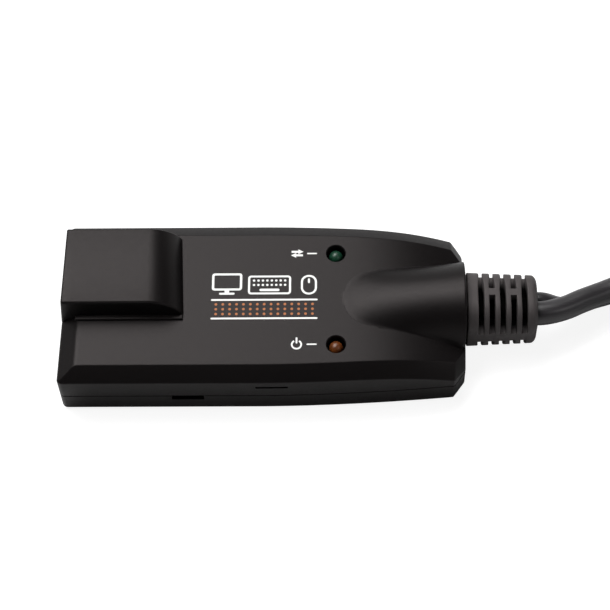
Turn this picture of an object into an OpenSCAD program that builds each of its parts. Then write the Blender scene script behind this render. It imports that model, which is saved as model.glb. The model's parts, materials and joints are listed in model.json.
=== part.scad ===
// KVM adapter: a two-shell plastic box with a network jack at one end and a display cord and a USB cord
// leaving through a slotted bend relief at the other.
// Millimetres, +Z up, +X towards the cords, origin on the ground under the middle of box and bend relief.
// Stations along the box (x) are counted from its jack end and moved into place by at_box().

/* [Box] */
// Length of the box without the bend relief
box_l = 88; // [80:0.5:96]
// Width of the box
box_w = 39; // [35:0.5:43]
// Height of the flat deck
deck_h = 14.2; // [13:0.1:16]
// Height of the seam between the shells
seam_h = 6; // [5.5:0.1:6.6]
// Wall thickness of both shells
wall_t = 1.6; // [1.3:0.05:1.9]
// Width of the bevels along the long sides
side_bevel_w = 3.4; // [2.6:0.1:4.2]
// Width of the bevel at the jack end
end_bevel_w = 3.7; // [2.8:0.1:4.6]
// Drop of the bevels from the deck
bevel_drop = 2.2; // [1.8:0.1:2.6]
// Corner radius seen from above at the jack end
jack_corner_r = 2.2; // [1.8:0.1:3]
// Corner radius seen from above at the cord end
cord_corner_r = 3.8; // [3:0.1:4.6]
// How far each side draws in by the cord end
side_draw = 2.3; // [1.6:0.1:3]
// How far the deck falls by the cord end
deck_fall = 4.5; // [3.6:0.1:5]
// Chamfer around the bottom edge
foot_chamfer = 0.8; // [0.5:0.1:1.1]

/* [Raised block] */
// Length of the raised block over the jack
block_l = 26.1; // [23.5:0.1:28.5]
// Width of the raised block at its base
block_w = 20; // [18.4:0.1:21.6]
// Height of the raised block's top
block_h = 19.6; // [18.4:0.1:21]
// Draft of the block's sides
block_draft = 0.7; // [0.4:0.05:1]
// Sideways offset of the block from the middle line
block_y = 5.5; // [4.4:0.1:6.2]
// Radius of the block's shoulder
shoulder_r = 7.5; // [6:0.1:9]

/* [Hump] */
// Radius of the hump at the cord end
hump_r = 9.75; // [9.2:0.05:10.6]
// Radius of the hump where it leaves the deck
hump_tip_r = 10.9; // [10:0.1:11.8]
// Height of the hump's axis at the cord end
hump_axis_h = 9.45; // [8.8:0.05:10.2]
// Height of the hump's axis at its tip
hump_tip_h = 3.3; // [2.9:0.05:3.7]

/* [Lights] */
// Diameter of the holes in the deck
light_hole_d = 4.1; // [3.7:0.05:4.6]
// Diameter of the lamp lenses
lens_d = 3; // [2.7:0.05:3.2]
// Distance of each lamp from the side of the box
light_in = 8.2; // [7.5:0.1:8.9]

/* [Fastening] */
// Distance of the two case screws from the sides of the box
screw_in = 6.9; // [6.4:0.1:7.5]
// Thread diameter of the case screws
screw_d = 2.2; // [1.8:0.1:2.5]
// Head diameter of the case screws
screw_head_d = 4.2; // [3.6:0.1:4.6]
// Length of a snap window
snap_l = 7; // [6:0.1:8]

/* [Electronics] */
// Thickness of the circuit board
board_t = 1.6; // [1.2:0.1:1.8]
// Height of the board's posts above the floor
post_h = 1.6; // [1.3:0.1:1.9]
// Width of the plug opening of the jack
port_w = 11.8; // [10.8:0.1:12.4]
// Height of the plug opening of the jack
port_h = 6.9; // [6.2:0.1:7.6]
// Depth of the plug opening
port_deep = 13.5; // [12:0.1:15]

/* [Bend relief] */
// Length of the bend relief outside the box
boot_l = 15.7; // [15:0.1:18]
// Width and height of the bend relief at the box
boot_w = 14.6; // [13.8:0.1:15]
// Width and height of the bend relief at its end
boot_end_w = 13.4; // [12.8:0.1:14.2]
// Width of a slot
slot_w = 1.05; // [0.8:0.05:1.3]
// Distance from slot to slot
slot_pitch = 2.42; // [2.2:0.02:2.5]
// Width of the solid core between the slots
core_w = 8.8; // [8.2:0.1:10]

/* [Cords] */
// Diameter of the display cord
video_d = 5.3; // [4.9:0.05:5.4]
// Diameter of the USB cord
usb_d = 4.2; // [3.8:0.05:4.3]
// Width of the tie around the bundled cords
tie_w = 5; // [4:0.1:6]

/* [Display plug] */
// Distance between the two thumbscrews
thumb_pitch = 25; // [24.4:0.1:25.6]
// Diameter of the thumbscrew thread
thumb_d = 2.84; // [2.6:0.02:3]
// Diameter of the plain shank of a thumbscrew
shank_d = 3.2; // [3.1:0.02:3.4]
// Diameter of a thumbscrew's knob
knob_d = 7; // [6.2:0.1:7.3]
// Width of the front block of the plug
front_w = 32; // [30.4:0.1:34]
// Height of the front block of the plug
front_h = 15.6; // [14.4:0.1:17]
// Length of the front block of the plug
front_l = 10; // [9:0.1:11.5]
// Width of the grip behind the front block
grip_w = 16.8; // [15:0.1:17]
// Width of the metal collar around the pins
collar_w = 16.9; // [15.8:0.1:17.4]
// Height of the metal collar around the pins
collar_h = 8.4; // [7.8:0.1:9]
// Diameter of a pin
pin_d = 0.8; // [0.6:0.05:1]

/* [USB plug] */
// Width of the plug's metal collar
usb_w = 12; // [11.2:0.1:12.6]
// Height of the plug's metal collar
usb_h = 4.5; // [4.2:0.05:5]
// Length of the plug's metal collar
usb_l = 12; // [11:0.1:13]
// Width of the plug's grip
usb_grip_w = 15.5; // [14.6:0.1:16.4]
// Height of the plug's grip
usb_grip_h = 8; // [7.4:0.1:9]

/* [Output] */
// Which node to draw

/* [Hidden] */
$fn = 48;

// Shape shares of the box, measured from the picture
taper_start_share = 0.489;
fall_start_share = 0.6875;
light_share = 0.676;
screw_share = 0.795;
hump_share = 0.698;

// Clearances
fit_gap = 0.1;
touch = 0.01;
bore_gap = 0.05;

bevel_h = deck_h - bevel_drop;
reach = box_l + box_w;
overall_l = box_l + boot_l;
light_y = box_w / 2 - light_in;
screw_y = box_w / 2 - screw_in;

function ramp(x, start, rise, power) = rise * pow(max(0, (x - start) / (box_l - start)), power);
function draw_at(x) = ramp(x, taper_start_share * box_l, side_draw, 1.77);
function fall_at(x) = ramp(x, fall_start_share * box_l, deck_fall, 2.61);
function half_w(x) = box_w / 2 - draw_at(x);
function arc(cx, cy, r, a0, a1, n) = [for (i = [0:n]) let (a = a0 + (a1 - a0) * i / n)
    [cx + r * cos(a), cy + r * sin(a)]];
function from_to(a, b, n) = [for (i = [0:n]) a + (b - a) * i / n];
// Where the curved sides, bevels and deck have their shared stations
stations = from_to(taper_start_share * box_l, box_l - cord_corner_r, 14);
beyond = concat(stations, [box_l, box_l + wall_t]);
function flip_y(p) = [for (i = [len(p) - 1:-1:0]) [p[i][0], -p[i][1]]];

module at_box() {
    translate([-overall_l / 2, 0, 0])
        children();
}

// A prism along Z from z0 to z1 over the children
module rise(z0, z1) {
    translate([0, 0, z0])
        linear_extrude(height = z1 - z0)
            children();
}

// A prism along X from x0 to x1; the children are drawn with Y as x and Z as y
module along(x0, x1) {
    translate([x0, 0, 0])
        rotate([90, 0, 90])
            linear_extrude(height = x1 - x0)
                children();
}

// A prism along Y, from y0 to y1; the children are drawn with X as x and Z as y
module across(y0, y1) {
    translate([0, y1, 0])
        rotate([90, 0, 0])
            linear_extrude(height = y1 - y0)
                children();
}

module box_between(a, b) {
    translate(a)
        cube(b - a);
}

module rod_x(x0, x1, y, z, r) {
    translate([x0, y, z])
        rotate([0, 90, 0])
            cylinder(h = x1 - x0, r = r);
}

module rod_z(z0, z1, x, y, r) {
    translate([x, y, z0])
        cylinder(h = z1 - z0, r = r);
}

module round_rect(w, h, r) {
    offset(r = r)
        square([w - 2 * r, h - 2 * r], center = true);
}

// The two shells

// Outline of the box from above, drawn in by inset
function near_edge(inset) = let (
    r1 = max(jack_corner_r - inset, fit_gap),
    r2 = max(cord_corner_r - inset, fit_gap),
    x1 = box_l - cord_corner_r)
    concat(
        arc(inset + r1, inset + r1 - half_w(0), r1, 180, 270, 6),
        [for (x = stations) [x, inset - half_w(x)]],
        [for (p = arc(box_l - inset - r2, inset + r2 - half_w(x1), r2, 270, 360, 8))
            if (p[0] > x1 + touch) p]);

module outline(inset) {
    edge = near_edge(inset);
    polygon(concat(edge, flip_y(edge)));
}

// Outline of the box from the side, with the bevel at the jack end
module side_outline(inset, z0) {
    a = atan(bevel_drop / end_bevel_w);
    polygon(concat(
        [[inset, z0],
        [inset, bevel_h + inset * tan(a) - inset / cos(a)],
        [end_bevel_w + inset * (1 / cos(a) - 1) / tan(a), deck_h - inset]],
        [for (x = beyond) [x, deck_h - fall_at(x) - inset]],
        [[box_l + wall_t, z0]]));
}

// Everything below the bevel along the near side
module below_bevel(inset) {
    a = atan(bevel_drop / side_bevel_w);
    rotate([90 + a, 0, 0])
        linear_extrude(height = reach, center = true)
            polygon(concat(
                [[-wall_t, -reach], [box_l + wall_t, -reach]],
                [for (i = [len(beyond) - 1:-1:0]) let (x = beyond[i])
                    [x, half_w(x) * sin(a) + (bevel_h - fall_at(x)) * cos(a) - inset]],
                [[-wall_t, half_w(0) * sin(a) + bevel_h * cos(a) - inset]]));
}

// The raised block over the jack
module block(inset, z0) {
    intersection() {
        across(-reach, reach)
            polygon(concat(
                [[inset, z0], [inset, bevel_h], [inset + block_draft, block_h - inset]],
                arc(block_l - shoulder_r, block_h - shoulder_r, shoulder_r - inset, 90, 0, 10),
                [[block_l - inset, z0]]));
        along(-reach, reach)
            polygon([
                [block_y - block_w / 2 + inset, z0],
                [block_y - block_w / 2 + inset, bevel_h],
                [block_y - block_w / 2 + block_draft + inset, block_h],
                [block_y + block_w / 2 - block_draft - inset, block_h],
                [block_y + block_w / 2 - inset, bevel_h],
                [block_y + block_w / 2 - inset, z0]]);
    }
}

// The tapering hump over the cords
module hump(inset) {
    x0 = hump_share * box_l;
    tilt = atan((hump_axis_h - hump_tip_h) / (box_l - x0));
    far_share = 1.12;
    l = (box_l - x0) / cos(tilt);
    translate([x0, 0, hump_tip_h])
        rotate([0, 90 - tilt, 0])
            cylinder(h = l * far_share, r1 = hump_tip_r - inset,
                r2 = hump_tip_r + (hump_r - hump_tip_r) * far_share - inset);
}

module upper_form(inset, z0) {
    intersection() {
        rise(z0, deck_h)
            outline(inset);
        across(-reach, reach)
            side_outline(inset, z0);
        below_bevel(inset);
        mirror([0, 1, 0])
            below_bevel(inset);
    }
    block(inset, z0);
    intersection() {
        rise(z0, block_h + hump_r)
            outline(inset);
        hump(inset);
    }
}

tongue_h = wall_t * 3 / 4;
snap_x = [box_l * 0.31, box_l * 0.518];
slit_h = wall_t * 0.3;
slit_z = (seam_h + bevel_h) / 2 + wall_t / 3;
window_h = wall_t;

board_z = wall_t + post_h;
board_top = board_z + board_t;
jack_w = block_w - 2 * (block_draft + wall_t + fit_gap);
jack_top = block_h - wall_t - 3 * fit_gap;
shield_t = 2.5 * fit_gap;
// The jack ends before the inside of the block's shoulder comes down to its top
room_r = shoulder_r - wall_t;
jack_l = block_l - shoulder_r + sqrt(room_r * room_r - pow(room_r - 3 * fit_gap, 2)) - 4 * fit_gap - shield_t;
screw_x = screw_share * box_l;
boss_r = screw_d / 2 + 1.4 * screw_d / 2.2;
board_hole_r = boss_r + 3 * fit_gap;
light_x = light_share * box_l;

// Hole through the end walls for the jack
module jack_window() {
    box_between([-wall_t, block_y - jack_w / 2 - fit_gap, board_top - fit_gap],
        [2 * wall_t, block_y + jack_w / 2 + fit_gap, jack_top + fit_gap]);
}

boot_z = hump_axis_h - 0.65 * hump_axis_h / 9.45;
neck_w = 11.2 * boot_w / 14.6;
flange_w = 13.6 * boot_w / 14.6;
flange_t = 1.5;

// Hole through the end walls for the neck of the bend relief
module boot_window() {
    along(box_l - 2 * wall_t, box_l + wall_t)
        translate([0, boot_z])
            round_rect(neck_w + 2 * fit_gap, neck_w + 2 * fit_gap, neck_w * 0.34);
}

// Snap windows in the lower shell, both sides
module snap_windows() {
    for (s = [-1, 1])
        box_between([snap_x[0] - snap_l / 2, s * (box_w / 2 - wall_t / 2) - wall_t, seam_h - window_h],
            [snap_x[0] + snap_l / 2, s * (box_w / 2 - wall_t / 2) + wall_t, seam_h + tongue_h + touch]);
}

module snap_tab(s) {
    y = box_w / 2 - wall_t - fit_gap;
    tab_l = snap_l - wall_t;
    across_y = s > 0 ? [y - wall_t * 0.6, y] : [-y, wall_t * 0.6 - y];
    hook_y = s > 0 ? [y - wall_t * 0.6, y + wall_t * 0.5] : [-y - wall_t * 0.5, wall_t * 0.6 - y];
    box_between([snap_x[0] - tab_l / 2, across_y[0], board_top + 2 * fit_gap],
        [snap_x[0] + tab_l / 2, across_y[1], bevel_h - wall_t]);
    box_between([snap_x[0] - tab_l / 2, hook_y[0], board_top + 2 * fit_gap],
        [snap_x[0] + tab_l / 2, hook_y[1], seam_h - fit_gap]);
    rib_y = s > 0 ? [y - wall_t * 0.6, y + wall_t / 2] : [-y - wall_t / 2, wall_t * 0.6 - y];
    box_between([snap_x[0] - tab_l / 2, rib_y[0], seam_h + tongue_h + 2 * fit_gap],
        [snap_x[0] + tab_l / 2, rib_y[1], bevel_h - wall_t]);
}

module upper_shell() {
    color([0.16, 0.15, 0.15])
        at_box() {
            difference() {
                upper_form(0, seam_h);
                upper_form(wall_t, seam_h - wall_t);
                rise(seam_h - wall_t, seam_h + tongue_h + fit_gap)
                    outline(wall_t / 2);
                for (s = [-1, 1])
                    rod_z(bevel_h - wall_t, deck_h + wall_t, light_x, s * light_y, light_hole_d / 2);
                for (s = [-1, 1])
                    box_between([snap_x[1] - snap_l / 2, s * box_w / 2 - 2 * wall_t, slit_z],
                        [snap_x[1] + snap_l / 2, s * box_w / 2 + 2 * wall_t, slit_z + slit_h]);
                jack_window();
                boot_window();
            }
            for (s = [-1, 1])
                snap_tab(s);
            // screw bosses hang from the deck, with pilot holes for the screws
            intersection() {
                upper_form(wall_t / 2, board_z - post_h);
                for (s = [-1, 1])
                    difference() {
                        rod_z(board_z - fit_gap, deck_h, screw_x, s * screw_y, boss_r);
                        rod_z(0, bevel_h - 2 * wall_t, screw_x, s * screw_y, screw_d / 2);
                    }
            }
        }
}

head_t = screw_head_d * 0.36;
head_z = 0.2;

module lower_shell() {
    color([0.16, 0.15, 0.15])
        at_box() {
            difference() {
                union() {
                    hull() {
                        rise(foot_chamfer, seam_h)
                            outline(0);
                        rise(0, touch)
                            outline(foot_chamfer);
                    }
                    rise(seam_h - wall_t, seam_h + tongue_h)
                        outline(wall_t / 2 + fit_gap);
                }
                difference() {
                    rise(wall_t, seam_h + 2 * tongue_h)
                        outline(wall_t);
                    // bosses under the upper shell's bosses, and the board's posts
                    for (s = [-1, 1])
                        rod_z(0, board_z - 2 * fit_gap, screw_x, s * screw_y, screw_head_d / 2 + wall_t / 2);
                    for (x = [jack_l * 1.2, screw_x - 3 * screw_head_d], s = [-1, 1])
                        rod_z(0, board_z, x, s * (box_w / 2 - 3 * wall_t), wall_t);
                }
                for (s = [-1, 1]) {
                    rod_z(-wall_t, head_z + head_t + fit_gap, screw_x, s * screw_y,
                        screw_head_d / 2 + fit_gap);
                    rod_z(-wall_t, seam_h, screw_x, s * screw_y, screw_d / 2 + fit_gap);
                }
                snap_windows();
                jack_window();
                boot_window();
            }
        }
}

module case_screws() {
    color([0.5, 0.5, 0.52])
        at_box()
            for (s = [-1, 1])
                difference() {
                    union() {
                        rod_z(head_z, head_z + head_t, screw_x, s * screw_y, screw_head_d / 2);
                        rod_z(head_z, bevel_h - 3 * wall_t, screw_x, s * screw_y, screw_d / 2);
                    }
                    for (turn = [0, 90])
                        translate([screw_x, s * screw_y, 0])
                            rotate([0, 0, turn])
                                translate([-screw_head_d * 0.3, -screw_head_d * 0.06, 0])
                                    cube([screw_head_d * 0.6, screw_head_d * 0.12, head_z + head_t * 0.6]);
                }
}

// Electronics

board_x1 = box_l * 0.905;

module circuit_board() {
    color([0.05, 0.3, 0.14])
        at_box()
            difference() {
                intersection() {
                    rise(board_z, board_top)
                        outline(wall_t + 4 * fit_gap);
                    box_between([0, -box_w, 0], [board_x1, box_w, block_h]);
                }
                for (s = [-1, 1])
                    rod_z(0, block_h, screw_x, s * screw_y, board_hole_r);
            }
}

jack_x0 = 2 * fit_gap;
port_z = board_top + (jack_top - board_top) * 0.24;
latch_w = port_w * 0.53;

// The space in the jack for a plug and its latch
module port_space(x0, x1) {
    along(x0, x1)
        polygon([
            [block_y - port_w / 2, port_z], [block_y - latch_w / 2, port_z],
            [block_y - latch_w / 2, port_z - port_h * 0.2], [block_y + latch_w / 2, port_z - port_h * 0.2],
            [block_y + latch_w / 2, port_z], [block_y + port_w / 2, port_z],
            [block_y + port_w / 2, port_z + port_h], [block_y - port_w / 2, port_z + port_h]]);
}

module jack_body() {
    color([0.09, 0.09, 0.09])
        at_box()
            difference() {
                box_between([jack_x0 + shield_t, block_y - jack_w / 2 + shield_t, board_top],
                    [jack_l, block_y + jack_w / 2 - shield_t, jack_top - shield_t]);
                port_space(0, port_deep);
            }
}

module jack_shield() {
    color([0.72, 0.72, 0.7])
        at_box()
            difference() {
                box_between([jack_x0, block_y - jack_w / 2, board_top],
                    [jack_l + shield_t, block_y + jack_w / 2, jack_top]);
                box_between([jack_x0 + shield_t, block_y - jack_w / 2 + shield_t, 0],
                    [jack_l, block_y + jack_w / 2 - shield_t, jack_top - shield_t]);
                port_space(-jack_l, jack_l / 2);
            }
}

contact_w = port_w * 0.038;

module jack_contacts() {
    pitch = port_w * 0.0864;
    l = port_deep * 0.62;
    high_z = jack_top - shield_t - 2 * fit_gap - contact_w;
    low_z = port_z + port_h * 0.86;
    color([0.85, 0.68, 0.3])
        at_box()
            for (i = [-3.5:3.5])
                translate([port_deep, block_y + i * pitch - contact_w / 2, low_z])
                    rotate([0, asin((high_z - low_z) / l), 0])
                        mirror([1, 0, 0])
                            translate([-contact_w, 0, -contact_w])
                                cube([l, contact_w, contact_w]);
}

lens_top = deck_h - lens_d * 0.04;
lens_l = lens_d * 1.55;

module lamp(s) {
    at_box() {
        rod_z(lens_top - lens_l, lens_top - lens_d / 2, light_x, s * light_y, lens_d / 2);
        rod_z(lens_top - lens_l, lens_top - lens_l + lens_d * 0.3, light_x, s * light_y, lens_d * 0.6);
        translate([light_x, s * light_y, lens_top - lens_d / 2])
            intersection() {
                sphere(d = lens_d);
                cylinder(h = lens_d, d = lens_d + lens_d);
            }
        for (dx = [-1, 1])
            box_between(
                [light_x + dx * lens_d * 0.42 - lens_d * 0.08, s * light_y - lens_d * 0.08, board_top],
                [light_x + dx * lens_d * 0.42 + lens_d * 0.08, s * light_y + lens_d * 0.08,
                    lens_top - lens_l + touch]);
    }
}

module green_lamp() {
    color([0.1, 0.5, 0.2])
        lamp(1);
}

module amber_lamp() {
    color([0.85, 0.45, 0.1])
        lamp(-1);
}

// A flat chip with legs on its four sides, centred on x, y
module chip(x, y, w, h, legs) {
    leg_w = w * 0.045;
    leg_out = w * 0.09;
    leg_t = h * 0.12;
    translate([x, y, board_top]) {
        box_between([-w / 2, -w / 2, leg_t], [w / 2, w / 2, h]);
        for (turn = [0, 90, 180, 270], i = [1:legs])
            rotate([0, 0, turn])
                translate([w / 2 - leg_out, -w / 2 + i * w / (legs + 1) - leg_w / 2, 0])
                    cube([2 * leg_out, leg_w, 2 * leg_t]);
    }
}

module controller_chip() {
    color([0.08, 0.08, 0.09])
        at_box()
            chip(box_l * 0.42, 0, box_w * 0.3, board_t, 8);
}

module video_chip() {
    color([0.08, 0.08, 0.09])
        at_box()
            chip(box_l * 0.6, 0, box_w * 0.2, board_t * 0.8, 5);
}

module crystal() {
    color([0.75, 0.75, 0.76])
        at_box()
            translate([box_l * 0.5, box_w * 0.28, 0])
                rise(board_top, board_top + board_t * 2)
                    round_rect(box_l * 0.12, box_w * 0.11, box_w * 0.05);
}

module capacitors() {
    color([0.2, 0.2, 0.24])
        at_box()
            for (x = [box_l * 0.36, box_l * 0.44])
                rod_z(board_top, board_top + board_t * 3.6, x, -box_w * 0.3, box_w * 0.062);
}

header_x0 = box_l * 0.825;
header_x1 = box_l * 0.885;
header_h = (hump_axis_h - board_top) * 1.1;

module video_header() {
    color([0.9, 0.88, 0.82])
        at_box()
            box_between([header_x0, -box_w * 0.22, board_top],
                [header_x1, -box_w * 0.02, board_top + header_h]);
}

module usb_header() {
    color([0.9, 0.88, 0.82])
        at_box()
            box_between([header_x0, box_w * 0.03, board_top],
                [header_x1, box_w * 0.18, board_top + header_h * 0.9]);
}

module header_wires(ys, z, r) {
    at_box()
        for (y = ys)
            rod_x(header_x1, box_l - wall_t - fit_gap - flange_t, y, z, r);
}

module video_wires() {
    color([0.7, 0.2, 0.18])
        header_wires([-box_w * 0.11, -box_w * 0.08, -box_w * 0.05], board_top + header_h * 0.7,
            box_w * 0.012);
}

module usb_wires() {
    color([0.2, 0.5, 0.25])
        header_wires([box_w * 0.055, box_w * 0.08, box_w * 0.105], board_top + header_h * 0.6, box_w * 0.01);
}

// Bend relief

boot_x1 = overall_l / 2;
boot_x0 = boot_x1 - boot_l;
first_slot = boot_l * 0.197;
slot_count = 5;
rail_h = boot_w * 0.23;
bridge_w = boot_w * 0.125;
corner_share = 0.356;

module bend_relief() {
    end_r = boot_l * 0.083;
    end_in = boot_l * 0.1;
    color([0.28, 0.27, 0.27]) {
        difference() {
            hull() {
                along(boot_x0, boot_x0 + touch)
                    translate([0, boot_z])
                        round_rect(boot_w, boot_w, boot_w * corner_share);
                along(boot_x1 - end_r, boot_x1 - end_r + touch)
                    translate([0, boot_z])
                        round_rect(boot_end_w, boot_end_w, boot_end_w * corner_share);
                along(boot_x1 - end_r * 0.35, boot_x1 - end_r * 0.35 + touch)
                    translate([0, boot_z])
                        round_rect(boot_end_w - end_in, boot_end_w - end_in, boot_end_w * corner_share);
                along(boot_x1 - touch, boot_x1)
                    translate([0, boot_z])
                        round_rect(boot_end_w - 3 * end_in, boot_end_w - 3 * end_in, boot_end_w * 0.3);
            }
            for (i = [0:slot_count - 1])
                along(boot_x0 + first_slot + i * slot_pitch, boot_x0 + first_slot + i * slot_pitch + slot_w)
                    translate([0, boot_z])
                        difference() {
                            square(2 * boot_w, center = true);
                            round_rect(core_w, core_w, core_w * 0.3);
                            square([2 * boot_w, rail_h], center = true);
                            if (i % 2 == 1)
                                square([bridge_w, 2 * boot_w], center = true);
                        }
        }
        // neck through the end walls and a flange inside them
        along(boot_x0 - wall_t - fit_gap - touch, boot_x0)
            translate([0, boot_z])
                round_rect(neck_w, neck_w, neck_w * 0.34);
        along(boot_x0 - wall_t - fit_gap - flange_t, boot_x0 - wall_t - fit_gap)
            translate([0, boot_z])
                round_rect(flange_w, flange_w, flange_w * 0.36);
    }
}

// Cords

// Rings along a route: each has a middle point, and its plane is square to the way on
function unit(v) = v / norm(v);
function way(p, i) = i == 0 ? unit(p[1] - p[0]) :
    i == len(p) - 1 ? unit(p[i] - p[i - 1]) :
    unit(unit(p[i] - p[i - 1]) + unit(p[i + 1] - p[i]));
function ring(p, i, r, sides) = let (
    t = way(p, i),
    side = unit(cross([0, 0, 1], t)),
    up = cross(t, side))
    [for (k = [0:sides - 1]) let (a = 360 * (k + 0.5) / sides) p[i] + r * (cos(a) * side + sin(a) * up)];

module tube(p, r, sides) {
    n = len(p);
    polyhedron(
        points = [for (i = [0:n - 1], q = ring(p, i, r, sides)) q],
        faces = concat(
            [[for (k = [0:sides - 1]) k]],
            [for (i = [0:n - 2], k = [0:sides - 1])
                [i * sides + k, (i + 1) * sides + k, (i + 1) * sides + (k + 1) % sides]],
            [for (i = [0:n - 2], k = [0:sides - 1])
                [i * sides + k, (i + 1) * sides + (k + 1) % sides, i * sides + (k + 1) % sides]],
            [[for (k = [sides - 1:-1:0]) (n - 1) * sides + k]]));
}

function blend(a, b, c, d, t) = ((2 * b) + (c - a) * t + (2 * a - 5 * b + 4 * c - d) * t * t
    + (3 * b - a - 3 * c + d) * t * t * t) / 2;
// A smooth line through the route points p, with n steps between them
function smooth(p, n) = let (last = len(p) - 1) concat(
    [for (i = [0:last - 1], k = [0:n - 1])
        blend(p[max(i - 1, 0)], p[i], p[i + 1], p[min(i + 2, last)], k / n)],
    [p[last]]);
function tail(p, first) = [for (i = [first:len(p) - 1]) p[i]];
function path_l(p) = len(p) < 2 ? 0 : norm(p[1] - p[0]) + path_l(tail(p, 1));

boot_end = [boot_x1, 0, boot_z];
// Route of the display cord from the bend relief's end, as offsets from the middle of that end
video_route = [[0.9, -1.5, 0.9], [3.5, -0.9, 0.7], [6.5, 0.3, 0.3], [10, 2.2, -0.2], [15.3, 4.8, -1.1],
    [20.1, 7, -1.3]];
// Route of the USB cord, below and behind the display cord
usb_route = [[0.8, 2.8, -1.6], [2.1, 2.85, -2.1], [3.8, 2.8, -3.1], [5.9, 2.9, -4.2], [7.9, 3.4, -5],
    [10.4, 4.6, -5.6], [13.2, 5.8, -6.2], [17.1, 7.2, -6.5], [21.1, 8.9, -6.6]];

// A cord leaves square to the boot's end face, just clear of it
function leaving(p) = concat([[bore_gap, p[0][1], p[0][2]]], p);
function moved(p, o) = [for (q = p) q + o];
video_line = moved(leaving(smooth(video_route, 2)), boot_end);
usb_line = moved(leaving(smooth(usb_route, 2)), boot_end);

// The hank: both cords lie folded in a long loop, one and a half turns, tied at the waist
hank_x = 135;
hank_y = -3.5;
run_l = 60;
video_fold = 16.3;
usb_fold = 21.5;
video_waist = 4.6;
usb_waist = 9.9;
video_low = 2.65;
usb_low = 2.1;
video_high = 8.5;
usb_high = 8.9;
waist_lift = 1.3;

function bump(u) = (1 - cos(360 * u)) / 2;
function ease(u) = (1 - cos(180 * u)) / 2;
function run(s, dir, u0, u1, n, fold, waist, z0, z1) = [for (i = [0:n]) let (u = u0 + (u1 - u0) * i / n)
    [hank_x + dir * run_l * (u - 0.5), hank_y + s * (fold - (fold - waist) * bump(u)),
        z0 + (z1 - z0) * ease(u) + waist_lift * bump(u)]];
function hank(lead, rest, fold, waist, low, high) = concat(
    lead,
    run(1, 1, 0, 1, 8, fold, waist, low, low),
    [for (i = [1:11]) let (a = 90 - 15 * i)
        [hank_x + run_l / 2 + fold * cos(a), hank_y + fold * sin(a), low]],
    run(-1, -1, 0, 1, 8, fold, waist, low, high),
    [for (i = [1:11]) let (a = 270 - 15 * i)
        [hank_x - run_l / 2 + fold * cos(a), hank_y + fold * sin(a), high]],
    run(1, 1, 0, 0.5, 4, fold, waist, high, high),
    rest);

video_plug = [194, -12, front_h / 2];
usb_plug = [194, 13, usb_grip_h / 2];
video_lead = smooth([[72, 7, 7.5], [76.8, 9.2, 7.3], [80, 10, 6.9], [84, 11, 5.6], [88, 11.9, 3.9],
    [92, 12.4, 2.8], [97, 12.5, 2.65]], 1);
usb_lead = smooth([[73, 8.9, 2.2], [77, 10.6, 2.1], [80, 13, 2.1], [84, 16, 2.1], [88, 17.5, 2.1],
    [92, 17.7, 2.1], [98, 17.7, 2.1]], 1);
video_rest = [[143, 0.6, 9.7], [151, -1, 9.4], [159, -3.4, 9.2], [167, -6.2, 9], [175, -8.9, 8.8],
    [182, -10.8, 8.5], [188.5, -12, 7.8], [194, -12, 7.8]];
usb_rest = [[143, 6.7, 10.1], [151, 7.9, 9.8], [159, 9.4, 9.3], [167, 10.9, 8.8], [175, 12.1, 8],
    [181, 12.7, 6.8], [186, 13, 4.9], [189.6, 13, 4], [194, 13, 4]];
video_hank_line = hank(video_lead, video_rest, video_fold, video_waist, video_low, video_high);
usb_hank_line = hank(usb_lead, usb_rest, usb_fold, usb_waist, usb_low, usb_high);

// Least gap of a line's rings from each other, beyond its own near neighbours
function self_gap(p, d, skip) = min([for (i = [0:len(p) - 1], j = [0:len(p) - 1])
    if (j - i >= skip) norm(p[i] - p[j]) - d]);
function pair_gap(p, q, d) = min([for (a = p, b = q) norm(a - b) - d]);
echo(video_length = path_l(video_line) + path_l(video_hank_line));
echo(usb_length = path_l(usb_line) + path_l(usb_hank_line));
echo(video_self_gap = self_gap(video_hank_line, video_d, 6));
echo(usb_self_gap = self_gap(usb_hank_line, usb_d, 6));
echo(cord_gap = pair_gap(video_hank_line, usb_hank_line, (video_d + usb_d) / 2));

module video_cord() {
    color([0.17, 0.16, 0.17])
        tube(video_line, video_d / 2, 12);
}

module video_cord_hank() {
    color([0.17, 0.16, 0.17])
        tube(video_hank_line, video_d / 2, 6);
}

module usb_cord() {
    color([0.17, 0.16, 0.17])
        tube(usb_line, usb_d / 2, 10);
}

module usb_cord_hank() {
    color([0.17, 0.16, 0.17])
        tube(usb_hank_line, usb_d / 2, 6);
}

module cord_tie() {
    tie_t = 0.9;
    room = 0.55;
    y0 = hank_y - usb_waist - usb_d / 2 - room;
    y1 = hank_y + usb_waist + usb_d / 2 + room;
    z1 = max(video_high + video_d / 2, usb_high + usb_d / 2) + waist_lift + room;
    color([0.12, 0.12, 0.12])
        along(hank_x - tie_w / 2, hank_x + tie_w / 2)
            translate([(y0 + y1) / 2, (z1 + 2 * tie_t) / 2 - tie_t / 2])
                difference() {
                    round_rect(y1 - y0 + 2 * tie_t, z1 + tie_t, usb_d / 2 + tie_t);
                    round_rect(y1 - y0, z1 - tie_t, usb_d / 2);
                }
}

// Display plug, pointing along +X from video_plug

neck_l = 16;
grip_l = 19;
collar_l = 6;
plate_t = 1;
sheet_t = 0.4;
front_x0 = video_plug[0] + neck_l + grip_l;
front_x1 = front_x0 + front_l;
plate_x1 = front_x1 + plate_t;

module at_video_plug() {
    translate([0, video_plug[1], video_plug[2]])
        children();
}

module collar_shape(w, h) {
    r = h * 0.22;
    slant = h * 0.09;
    hull() {
        for (s = [-1, 1])
            translate([s * (w / 2 - r), h / 2 - r])
                circle(r = r);
        for (s = [-1, 1])
            translate([s * (w / 2 - r - 2 * slant), r - h / 2])
                circle(r = r);
    }
}

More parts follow.
